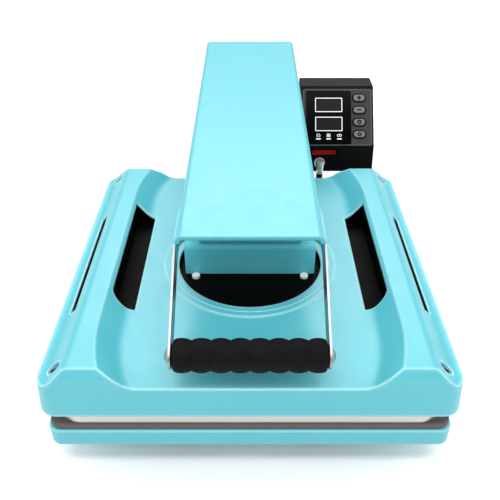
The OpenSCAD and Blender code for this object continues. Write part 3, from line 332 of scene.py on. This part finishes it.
def two_tone(name, paint, bare, edge_y, roughness, spread, blend):
    """Bare steel in front of edge_y and paint behind it, with a short blend between them."""
    material, tree, shader = new_material(name, bare, roughness)
    coords = tree.nodes.new("ShaderNodeTexCoord")
    parts = tree.nodes.new("ShaderNodeSeparateXYZ")
    tree.links.new(coords.outputs["Object"], parts.inputs["Vector"])
    behind = tree.nodes.new("ShaderNodeMapRange")
    behind.inputs["From Min"].default_value = edge_y - blend / 2
    behind.inputs["From Max"].default_value = edge_y + blend / 2
    tree.links.new(parts.outputs["Y"], behind.inputs["Value"])
    vary_color(tree, shader, behind.outputs["Result"], bare, paint)
    metallic = tree.nodes.new("ShaderNodeMapRange")
    metallic.inputs["To Min"].default_value = 1.0
    metallic.inputs["To Max"].default_value = 0.0
    tree.links.new(behind.outputs["Result"], metallic.inputs["Value"])
    tree.links.new(metallic.outputs["Result"], shader.inputs["Metallic"])
    vary_roughness(tree, shader, noise(tree, GLOSS_CELLS), roughness - spread, roughness + spread)
    return material


def porous(name, color, roughness, cell, depth, tint, gloss=0.5, spread=0.06):
    """Foam or sponge: open cells in the surface, sized in millimetres, and a speckle in the colour."""
    material, tree, shader = new_material(name, color, roughness, gloss=gloss)
    cells = tree.nodes.new("ShaderNodeTexVoronoi")
    cells.inputs["Scale"].default_value = 1 / (cell * MM)
    coords = tree.nodes.new("ShaderNodeTexCoord")
    tree.links.new(coords.outputs["Object"], cells.inputs["Vector"])
    speckle = noise(tree, SPECKLE_CELLS, detail=4)
    vary_color(tree, shader, speckle, shade(color, 1 - tint), shade(color, 1 + tint))
    vary_roughness(tree, shader, noise(tree, FOAM_GLOSS_CELLS), roughness - spread, roughness + spread)
    add_bump(tree, shader, cells.outputs["Distance"], depth * MM)
    return material


# Materials

TEAL = (0.088, 0.440, 0.510)

COATS = {
    "teal_paint": dict(color=TEAL, roughness=0.34, edge=2.2, edge_highlight=0.0),
    # The bracket's teal is made 1.4 times as bright as the rest: painted light for what reaches its face
    # under the lever
    "teal_bracket": dict(color=shade(TEAL, 1.4), roughness=0.34),
    # The lower plate and the cover keep the default edge_highlight: a painted highlight along their edges
    "teal_plate": dict(color=TEAL, roughness=0.36, edge=3.2),
    "teal_moulding": dict(color=TEAL, roughness=0.34, cell=0.9, depth=0.010, edge=4.5),
    # Lighter teal for the window ring's beads: painted highlights on the ring's edges
    "teal_light": dict(color=(0.30, 0.74, 0.80), roughness=0.30, depth=0.004),
    "black_paint": dict(color=(0.0022, 0.0022, 0.0024), roughness=0.42,
                        cell=0.8, depth=0.05, tint=0.2, gloss=0.07),
    "black_plate": dict(color=(0.0015, 0.0015, 0.0016), roughness=0.50,
                        cell=0.8, depth=0.05, tint=0.2, gloss=0.04),
    "black_plastic": dict(color=(0.0015, 0.0015, 0.0017), roughness=0.52,
                          cell=0.5, depth=0.04, tint=0.2, gloss=0.04),
    "black_rubber": dict(color=(0.005, 0.005, 0.0055), roughness=0.62,
                         cell=0.6, depth=0.03, tint=0.2, gloss=0.2),
    # Black steel for the cover screws, partly their own colour and partly painted shade that darkens their
    # pockets,
    # and for the pin end rings, which are painted groove shade
    "steel_black": dict(color=(0.004, 0.004, 0.0045), roughness=0.35,
                        cell=0.4, depth=0.01, tint=0.2, gloss=0.3),
    # Pale plated screws made near-white and not metallic: partly their own colour, partly a painted glint in
    # the lever's shadow
    "bright_steel": dict(color=(0.92, 0.92, 0.90), roughness=0.32, cell=0.5, depth=0.004, gloss=0.6),
    "panel_grey": dict(color=(0.042, 0.042, 0.043), roughness=0.55,
                       cell=0.35, depth=0.03, tint=0.12, gloss=0.12),
    # Lighter grey of the painted highlight round the panel's edge
    "panel_line": dict(color=(0.10, 0.10, 0.10), roughness=0.50, depth=0.004, gloss=0.2),
    "display_black": dict(color=(0.002, 0.002, 0.0022), roughness=0.12,
                          spread=0.03, depth=0.002, tint=0.2, gloss=0.02),
    "display_dark": dict(color=(0.013, 0.013, 0.014), roughness=0.16,
                         spread=0.03, depth=0.002, tint=0.1, gloss=0.03),
    "mark_white": dict(color=(0.90, 0.90, 0.90), roughness=0.45, depth=0.004),
    "mark_black": dict(color=(0.002, 0.002, 0.002), roughness=0.50, depth=0.004, gloss=0.05),
    "lamp_white": dict(color=(0.88, 0.88, 0.88), roughness=0.30, depth=0.004),
    "board_green": dict(color=(0.02, 0.09, 0.035), roughness=0.40, cell=0.5, tint=0.2),
    "key_grey": dict(color=(0.15, 0.15, 0.152), roughness=0.55, cell=0.4, depth=0.02, gloss=0.25),
    "rocker_red": dict(color=(0.21, 0.002, 0.003), roughness=0.25, depth=0.004, gloss=0.12),
}
METALS = {
    "steel": dict(color=(0.66, 0.66, 0.67), roughness=0.30, along="y"),
    "steel_across": dict(color=(0.40, 0.40, 0.41), roughness=0.32, along="x"),
    "dark_steel": dict(color=(0.15, 0.15, 0.155), roughness=0.42, along="x"),
    "bronze": dict(color=(0.56, 0.36, 0.14), roughness=0.34, along="x"),
    "aluminium": dict(color=(0.60, 0.575, 0.565), roughness=0.34, along="x"),
}
SPONGES = {
    "foam": dict(color=(0.003, 0.003, 0.0033), roughness=0.75,
                 cell=0.9, depth=0.12, tint=0.35, gloss=0.12),
    "silicone": dict(color=(0.112, 0.095, 0.088), roughness=0.66,
                     cell=0.8, depth=0.05, tint=0.10, gloss=0.25),
    "insulation": dict(color=(0.56, 0.49, 0.39), roughness=0.85, cell=1.6, depth=0.15, tint=0.18),
}

finishes = {}
for make, looks in ((coated, COATS), (metal, METALS), (porous, SPONGES)):
    for name, look in looks.items():
        finishes[name] = make(name, **look)
finishes["chrome"] = polished("chrome", (0.74, 0.71, 0.68), roughness=0.22, metallic=0.8,
                              least=0.14, most=0.26)

# The handle bars are painted from just behind the lever's front edge, where they lap its sides
PAINT_BACK = 1 * MM
paint_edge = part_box("lever_arm")[0].y + PAINT_BACK
finishes["bar_steel"] = two_tone("bar_steel", TEAL, (0.32, 0.32, 0.33), paint_edge,
                                 roughness=0.34, spread=0.04, blend=0.4 * MM)

WORN_BY = {
    "teal_paint": ["platen_arm", "lever_arm"],
    # The bracket wears the brighter teal of painted light
    "teal_bracket": ["platen_bracket"],
    "teal_plate": ["lower_plate"],
    "teal_moulding": ["heat_shield_cover"],
    "black_paint": ["left_rail", "right_rail", "front_cross_tube", "rear_cross_tube", "upright_foot_plate",
                    "left_upright", "right_upright", "box_bracket", "control_box"],
    "black_plate": ["heater_top_plate"],
    # Cover screws in black: partly painted shade for their pockets
    "steel_black": ["cover_screws"],
    "black_plastic": ["rail_caps", "pressure_knob", "vent_liners", "side_baffles", "rocker_frame"],
    "black_rubber": ["rubber_feet", "heater_lead"],
    "foam": ["foam_grip"],
    "silicone": ["silicone_pad"],
    "steel": ["foot_plate_bolts", "heating_element", "temperature_sensor", "cover_posts", "bracket_bolts",
              "box_bolts", "bar_bolts", "toggle_links"],
    "dark_steel": ["anchor_block", "nut_plate", "pressure_screw"],
    "bar_steel": ["handle_bars"],
    # The plate screws carry a painted glint
    "bright_steel": ["top_plate_screws"],
    "steel_across": ["hinge_pin", "anchor_pin", "link_spacers", "lever_pivot_pin", "handle_rod",
                     "toggle_pins"],
    "bronze": ["hinge_bushes", "pivot_bushes"],
    "aluminium": ["heat_platen"],
    "insulation": ["insulation_board"],
    "panel_grey": ["control_panel"],
    "display_black": ["display_bezel"],
    "display_dark": ["digit_displays"],
    "lamp_white": ["indicator_lamps"],
    "board_green": ["circuit_board"],
    "key_grey": ["plus_button", "minus_button", "timer_button", "power_button"],
    "rocker_red": ["rocker_switch"],
    "chrome": ["lead_socket", "lead_plug"],
}
for finish, wearers in WORN_BY.items():
    for name in wearers:
        nodes[name].data.materials.clear()
        nodes[name].data.materials.append(finishes[finish])

# Edge rounding of the rigid nodes, in millimetres
EDGES = {
    0.3: ["display_bezel"],
    0.4: ["rocker_switch", "rocker_frame"],
    0.5: ["handle_bars", "control_panel", "heater_top_plate", "toggle_links"],
    0.6: ["heat_platen", "box_bracket"],
    0.7: ["plus_button", "minus_button", "timer_button", "power_button"],
    0.8: ["lower_plate", "platen_bracket", "platen_arm", "left_upright", "right_upright",
          "upright_foot_plate", "pressure_knob", "rail_caps", "anchor_block", "nut_plate", "left_rail",
          "right_rail"],
    0.9: ["control_box"],
    1.0: ["rubber_feet"],
    1.9: ["lever_arm"],
}
for width, rounded_nodes in EDGES.items():
    for name in rounded_nodes:
        soften(nodes[name], width * MM)


# Foam grip: equal soft lobes along the rod, which passes through a flat cap in each rounded end

GRIP_LOBES = 8
LOBE_STEPS = 10
LOBE_GROOVE = 2.2 * MM
LOBE_POWER = 0.75
GRIP_END_ROUND = 3.5 * MM
GRIP_CAP_RADIUS = 6 * MM
GRIP_SIDES = 64


def grip():
    low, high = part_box("foam_grip")
    half = (high.x - low.x) / 2
    radius = (high.z - low.z) / 2
    steps = GRIP_LOBES * LOBE_STEPS
    profile = [(-half, GRIP_CAP_RADIUS)]
    for i in range(steps + 1):
        swell = math.sin(math.pi * (i / LOBE_STEPS % 1)) if i % LOBE_STEPS else 0
        along = half * (2 * i / steps - 1)
        inset = max(0.0, GRIP_END_ROUND - (half - abs(along)))
        drop = GRIP_END_ROUND - math.sqrt(max(0.0, GRIP_END_ROUND ** 2 - inset ** 2))
        profile.append((along, radius - LOBE_GROOVE * (1 - swell ** LOBE_POWER) - drop))
    profile.append((half, GRIP_CAP_RADIUS))
    piece = lathe("foam_grip_sleeve", profile, middle("foam_grip"), RIGHT, finishes["foam"], GRIP_SIDES)
    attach(piece, "lever")
    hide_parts("foam_grip")


grip()


# Silicone pad: a soft slab whose edge swells a little between the plates

PAD_CORNER = 12 * MM
PAD_CORNER_STEPS = 12
PAD_LAYERS = 8
PAD_SWELL = 0.6 * MM
PAD_LIP = 1.2 * MM
PAD_LIP_POWER = 4


def pad():
    low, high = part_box("silicone_pad")
    centre = (low + high) / 2
    half = (high - low) / 2
    verts = []
    for i in range(PAD_LAYERS + 1):
        a = math.pi * i / PAD_LAYERS
        height = low.z + (high.z - low.z) * (1 - math.cos(a)) / 2
        edge = PAD_SWELL * (math.sin(a) - 1) - PAD_LIP * abs(math.cos(a)) ** PAD_LIP_POWER
        outline = round_outline(centre, (half.x + edge, half.y + edge), PAD_CORNER + edge, PAD_CORNER_STEPS)
        verts += [(x, y, height) for x, y in outline]
    faces = ring_faces(PAD_LAYERS + 1, len(outline))
    piece = add_mesh("silicone_pad_sheet", verts, faces, finishes["silicone"])
    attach(piece, "base")
    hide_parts("silicone_pad")


pad()


# Beads in a lighter teal on both edges of the raised ring round the cover's window: painted highlights on
# its edges

RING_WITHIN = 105 * MM
RING_FLATNESS = 0.01 * MM
BEAD_INSET = 0.6 * MM
BEAD_SINK = 0.25 * MM
BEAD_RADIUS = 0.55 * MM
BEAD_AROUND = 128
BEAD_SECTION = 10


def window_ring():
    """Inner radius, outer radius and top of the raised ring, the highest part near the cover's middle."""
    cover = nodes["heat_shield_cover"]
    points = [cover.matrix_world @ vertex.co for vertex in cover.data.vertices]
    measured = [((point - platen_middle).xy.length, point.z) for point in points]
    near = [(radius, height) for radius, height in measured if radius < RING_WITHIN]
    top = max(height for radius, height in near)
    radii = [radius for radius, height in near if height > top - RING_FLATNESS]
    return min(radii), max(radii), top


def bead(name, radius, height):
    """A thin round moulding in the painted-highlight teal that follows a circle about the platen's middle.
    """
    verts = []
    for c, s in circle(BEAD_AROUND):
        for outward, upward in circle(BEAD_SECTION):
            out = radius + BEAD_RADIUS * outward
            z = height + BEAD_RADIUS * upward
            verts.append((platen_middle.x + out * c, platen_middle.y + out * s, z))
    faces = ring_faces(BEAD_AROUND, BEAD_SECTION, closed=True)
    piece = add_mesh(name, verts, faces, finishes["teal_light"])
    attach(piece, "head")


ring_inner, ring_outer, ring_top = window_ring()
bead("window_bead_inner", ring_inner + BEAD_INSET, ring_top - BEAD_SINK)
bead("window_bead_outer", ring_outer - BEAD_INSET, ring_top - BEAD_SINK)


# Thread on the open lengths of the pressure screw, clear of the nut plate

THREAD_PITCH = 2.5 * MM
THREAD_DEPTH = 0.8 * MM
THREAD_ROOT_SINK = 0.2 * MM
THREAD_HALF_ROOT = 0.40 * THREAD_PITCH
THREAD_HALF_CREST = 0.06 * THREAD_PITCH
THREAD_FADE = 1 / 8
STEPS_A_TURN = 28
THREAD_CLEAR = 1.5 * MM


def thread(name, low, high):
    """A ridge that winds up the screw from low to high and fades at both ends."""
    screw_low, screw_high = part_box("pressure_screw")
    centre = (screw_low + screw_high) / 2
    radius = (screw_high.x - screw_low.x) / 2
    root = radius - THREAD_ROOT_SINK
    count = max(2, int((high - low) / THREAD_PITCH * STEPS_A_TURN))
    verts = []
    for i in range(count + 1):
        share = i / count
        height = low + THREAD_PITCH / 2 + (high - low - THREAD_PITCH) * share
        a = TURN * (height - low) / THREAD_PITCH
        crest = radius + THREAD_DEPTH * min(1.0, share / THREAD_FADE, (1 - share) / THREAD_FADE)
        section = ((root, -THREAD_HALF_ROOT), (crest, -THREAD_HALF_CREST),
                   (crest, THREAD_HALF_CREST), (root, THREAD_HALF_ROOT))
        for out, rise in section:
            verts.append((centre.x + out * math.cos(a), centre.y + out * math.sin(a), height + rise))
    faces = ring_faces(count + 1, len(section))
    piece = add_mesh(name, verts, faces, finishes["dark_steel"], smooth=False)
    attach(piece, "pressure_set")


nut_low, nut_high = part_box("nut_plate")
thread("lower_screw_thread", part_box("pressure_knob")[1].z + THREAD_CLEAR, nut_low.z - THREAD_CLEAR)
thread("upper_screw_thread", nut_high.z + THREAD_CLEAR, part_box("anchor_block")[0].z - THREAD_CLEAR)


# Black rings on both ends of the cross pins, painted shade for turned grooves, with their radii as shares of
# the pin's

PINS = {"hinge_pin": "base", "anchor_pin": "base", "lever_pivot_pin": "head", "toggle_pins": "lever"}
GROOVE_OUTER = 0.74
GROOVE_INNER = 0.58
GROOVE_THICK = 0.15 * MM
GROOVE_SIDES = 48


def groove_shade(end, way, centre, radius):
    """A flat ring of painted groove shade on a pin's end, which faces along the x axis by way."""
    section = ((GROOVE_OUTER, 0), (GROOVE_OUTER, GROOVE_THICK),
               (GROOVE_INNER, GROOVE_THICK), (GROOVE_INNER, 0))
    verts = []
    for share, out in section:
        for c, s in circle(GROOVE_SIDES):
            verts.append((end + way * out, centre.y + share * radius * c, centre.z + share * radius * s))
    return verts, ring_faces(len(section), GROOVE_SIDES, closed=True)


def pin_groove_shades(node, body):
    low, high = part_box(node)
    centre = (low + high) / 2
    radius = (high.z - low.z) / 2
    verts, faces = merged([groove_shade(low.x, -1, centre, radius), groove_shade(high.x, 1, centre, radius)])
    piece = add_mesh(node + "_groove_shades", verts, faces, finishes["steel_black"], smooth=False)
    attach(piece, body)


for pin, body in PINS.items():
    pin_groove_shades(pin, body)


# Shapes on the control panel, in its own directions: across, up the slope and out of it

LEAST_RADIUS = 0.05 * MM


def panel_point(across, up, out):
    return RIGHT * across + panel_up * up + panel_out * out


def band(middle_at, half, radius, width, low, high):
    """A flat ring that follows a round outline inwards by width."""
    outer = round_outline(middle_at, half, radius)
    inner_half = (half[0] - width, half[1] - width)
    inner = round_outline(middle_at, inner_half, max(radius - width, LEAST_RADIUS))
    rings = ((outer, low), (outer, high), (inner, high), (inner, low))
    verts = [panel_point(x, y, out) for outline, out in rings for x, y in outline]
    return verts, ring_faces(len(rings), len(outer), closed=True)


def slab(outline, low, high):
    verts = [panel_point(x, y, out) for out in (low, high) for x, y in outline]
    return verts, ring_faces(2, len(outline))


def bar(middle_at, length, width, low, high, angle=0):
    """A straight stroke, turned by angle."""
    c = math.cos(math.radians(angle))
    s = math.sin(math.radians(angle))
    corners = []
    for side_x, side_y in CORNERS:
        x = side_x * length / 2
        y = side_y * width / 2
        corners.append((middle_at[0] + x * c - y * s, middle_at[1] + x * s + y * c))
    return slab(corners, low, high)


def arc(middle_at, radius, width, start, end, low, high, steps=20):
    """A stroke along part of a circle."""
    turns = [math.radians(start + (end - start) * k / steps) for k in range(steps + 1)]
    stroke = [(radius, a) for a in turns] + [(radius - width, a) for a in reversed(turns)]
    outline = [(middle_at[0] + r * math.cos(a), middle_at[1] + r * math.sin(a)) for r, a in stroke]
    return slab(outline, low, high)


def joined(name, shapes, material, body):
    """One piece made of several shapes, riding on a body."""
    verts, faces = merged(shapes)
    piece = add_mesh(name, verts, faces, finishes[material], smooth=False)
    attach(piece, body)


def face_of(node):
    """Middle and half size of a node on the panel, and how far its face stands out."""
    left, right = reach(node, RIGHT)
    low, high = reach(node, panel_up)
    at = ((left + right) / 2, (low + high) / 2)
    half = ((right - left) / 2, (high - low) / 2)
    return at, half, reach(node, panel_out)[1]


# Print on the displays: a white frame and a black border inside it on each of the two

PRINT = 0.12 * MM
DISPLAY_TALL = 21 * MM
DISPLAY_INSET = 0.1 * MM
FRAME_LINE = 1.2 * MM
FRAME_CORNER = 1.2 * MM
BORDER_LINE = 1.4 * MM
BORDER_CORNER = 0.4 * MM


def display_frames():
    at, half, face = face_of("digit_displays")
    shift = half[1] - DISPLAY_TALL / 2
    middles = [(at[0], at[1] - shift), (at[0], at[1] + shift)]
    outer = (half[0] - DISPLAY_INSET, DISPLAY_TALL / 2 - DISPLAY_INSET)
    inner = (outer[0] - FRAME_LINE, outer[1] - FRAME_LINE)
    frames = [band(place, outer, FRAME_CORNER, FRAME_LINE, face, face + PRINT) for place in middles]
    borders = [band(place, inner, BORDER_CORNER, BORDER_LINE, face, face + PRINT / 2) for place in middles]
    joined("display_frames", frames, "mark_white", "head")
    joined("display_borders", borders, "mark_black", "head")


# Signs over the three lamps: SECOND_LAMP is the second one's distance from the first

LAMP_LONG = 6.6 * MM
SECOND_LAMP = 14.5 * MM
SIGN_RISE = 5.2 * MM
SIGN_TALL = 4.8 * MM
SIGN_LINE = 0.75 * MM


def heat_sign(across, up, low, high):
    """Three short strokes and an arc."""
    stroke = 2.4 * MM
    pitch = 1.7 * MM
    strokes_left = 1.5 * MM
    arc_right = 0.3 * MM
    rows = (up - pitch, up, up + pitch)
    shapes = [bar((across - strokes_left, row), stroke, SIGN_LINE, low, high) for row in rows]
    return shapes + [arc((across + arc_right, up), SIGN_TALL / 2, SIGN_LINE, -90, 90, low, high)]


def time_sign(across, up, low, high):
    """A square with a cross."""
    half = (2.6 * MM, SIGN_TALL / 2)
    corner = 0.6 * MM
    wide = 4 * MM
    tall = 3.4 * MM
    at = (across, up)
    return [band(at, half, corner, SIGN_LINE, low, high), bar(at, wide, SIGN_LINE, low, high),
            bar(at, tall, SIGN_LINE, low, high, 90)]


def cycle_sign(across, up, low, high):
    """Two rings side by side."""
    radius = 1.9 * MM
    apart = 1.5 * MM
    places = (across - apart, across + apart)
    return [band((place, up), (radius, radius), radius, SIGN_LINE, low, high) for place in places]


def indicator_icons():
    at, half = face_of("indicator_lamps")[:2]
    glass = reach("display_bezel", panel_out)[1]
    top = glass + PRINT
    up = at[1] + SIGN_RISE
    first = at[0] - half[0] + LAMP_LONG / 2
    last = at[0] + half[0] - LAMP_LONG / 2
    shapes = heat_sign(first, up, glass, top)
    shapes += time_sign(first + SECOND_LAMP, up, glass, top)
    shapes += cycle_sign(last, up, glass, top)
    joined("indicator_icons", shapes, "mark_white", "head")


# A symbol on each key, and a rim round it on the panel

KEYS = {
    "plus_button": "plus_key",
    "minus_button": "minus_key",
    "timer_button": "timer_key",
    "power_button": "power_key",
}
SYMBOL_LINE = 1.9 * MM
SYMBOL_LONG = 6.0 * MM
SYMBOL_RADIUS = 3.1 * MM
POWER_ARC_START = 125
POWER_ARC_END = 415
POWER_STROKE_UP = 2.2 * MM
POWER_STROKE_LONG = 2.6 * MM
POWER_STROKE_LINE = 1.2 * MM
RIM_GAP = 0.5 * MM
RIM_LINE = 1.5 * MM
RIM_HEIGHT = 0.8 * MM


def key_symbol(node, at, low, high):
    """A plus, a minus, a ring or a power sign."""
    if node == "plus_button":
        return [bar(at, SYMBOL_LONG, SYMBOL_LINE, low, high, angle) for angle in (0, 90)]
    if node == "minus_button":
        return [bar(at, SYMBOL_LONG, SYMBOL_LINE, low, high)]
    if node == "timer_button":
        return [band(at, (SYMBOL_RADIUS, SYMBOL_RADIUS), SYMBOL_RADIUS, SYMBOL_LINE, low, high)]
    stroke_at = (at[0], at[1] + POWER_STROKE_UP)
    return [arc(at, SYMBOL_RADIUS, SYMBOL_LINE, POWER_ARC_START, POWER_ARC_END, low, high),
            bar(stroke_at, POWER_STROKE_LONG, POWER_STROKE_LINE, low, high, 90)]


def key_marks():
    panel = reach("control_panel", panel_out)[1]
    rims = []
    for node, body in KEYS.items():
        at, half, face = face_of(node)
        outer = (half[0] + RIM_GAP + RIM_LINE, half[1] + RIM_GAP + RIM_LINE)
        rims.append(band(at, outer, outer[1], RIM_LINE, panel, panel + RIM_HEIGHT))
        symbol = key_symbol(node, at, face, face + PRINT)
        joined(node + "_symbol", symbol, "mark_black", body)
    joined("key_rims", rims, "mark_black", "head")


# A thin lighter line round the panel: a painted highlight along its edge

EDGE_LINE_INSET = 0.8 * MM
EDGE_LINE = 0.8 * MM
EDGE_LINE_CORNER = 2.4 * MM
EDGE_LINE_HEIGHT = 0.06 * MM


def panel_edge_highlight():
    at, half, panel = face_of("control_panel")
    outer = (half[0] - EDGE_LINE_INSET, half[1] - EDGE_LINE_INSET)
    line = band(at, outer, EDGE_LINE_CORNER, EDGE_LINE, panel, panel + EDGE_LINE_HEIGHT)
    joined("panel_edge_highlight", [line], "panel_line", "head")


display_frames()
indicator_icons()
key_marks()
panel_edge_highlight()


# Stage, light and camera

FLOOR_HALF = 12
FLOOR_WHITE = (0.93, 0.93, 0.93)
FLOOR_ROUGHNESS = 0.7
FLOOR_SPREAD = 0.05
WORLD_STRENGTH = 0.62

# Soft boxes: place from the platen's middle and size in metres, power in watts
LIGHTS = {
    "back_box": dict(place=(0, 1.85, 1.8), width=2.4, height=1.2, power=40),
    "strip_box": dict(place=(0, -0.8, 2.2), width=2.4, height=0.5, power=26),
    "front_box": dict(place=(0, -1.7, 1.7), width=1.6, height=0.9, power=14),
    "left_box": dict(place=(-2.1, 0.2, 1.4), width=1.3, height=1.3, power=12),
    "right_box": dict(place=(2.1, 0.2, 1.4), width=1.3, height=1.3, power=12),
}

# Camera fitted to the photo: back from the platen's middle, up from the floor, and degrees below level
CAMERA_BACK = 571.5 * MM
CAMERA_HEIGHT = 540 * MM
CAMERA_PITCH = 35.85
FOCAL_PIXELS = 620
PHOTO_SIDE = 500
SENSOR_WIDTH = 36


def stage():
    material, tree, shader = new_material("floor_white", FLOOR_WHITE, FLOOR_ROUGHNESS)
    patches = noise(tree, FLOOR_CELLS, detail=2)
    vary_roughness(tree, shader, patches, FLOOR_ROUGHNESS - FLOOR_SPREAD, FLOOR_ROUGHNESS + FLOOR_SPREAD)
    corners = [(x * FLOOR_HALF, y * FLOOR_HALF, 0) for x, y in ((-1, -1), (1, -1), (1, 1), (-1, 1))]
    floor = add_mesh("floor", corners, [(0, 1, 2, 3)], material)


def soft_box(name, place, width, height, power):
    """An area light that faces the platen's middle."""
    lamp = bpy.data.lights.new(name, "AREA")
    lamp.shape = "RECTANGLE"
    lamp.size = width
    lamp.size_y = height
    lamp.energy = power
    box = bpy.data.objects.new(name, lamp)
    bpy.context.scene.collection.objects.link(box)
    box.location = platen_middle + Vector(place)
    box.rotation_mode = "QUATERNION"
    box.rotation_quaternion = (-Vector(place)).to_track_quat("-Z", "Y")


def lights():
    world = bpy.data.worlds.new("studio")
    world.use_nodes = True
    background = world.node_tree.nodes["Background"]
    background.inputs["Color"].default_value = (1, 1, 1, 1)
    background.inputs["Strength"].default_value = WORLD_STRENGTH
    bpy.context.scene.world = world
    for name, light in LIGHTS.items():
        soft_box(name, **light)


def camera():
    data = bpy.data.cameras.new("camera")
    data.sensor_width = SENSOR_WIDTH
    data.lens = SENSOR_WIDTH * FOCAL_PIXELS / PHOTO_SIDE
    view = bpy.data.objects.new("camera", data)
    bpy.context.scene.collection.objects.link(view)
    view.location = (0, platen_middle.y - CAMERA_BACK, CAMERA_HEIGHT)
    view.rotation_euler = (math.radians(90 - CAMERA_PITCH), 0, 0)
    bpy.context.scene.camera = view


stage()
lights()
camera()
bpy.context.scene.view_settings.view_transform = "Standard"
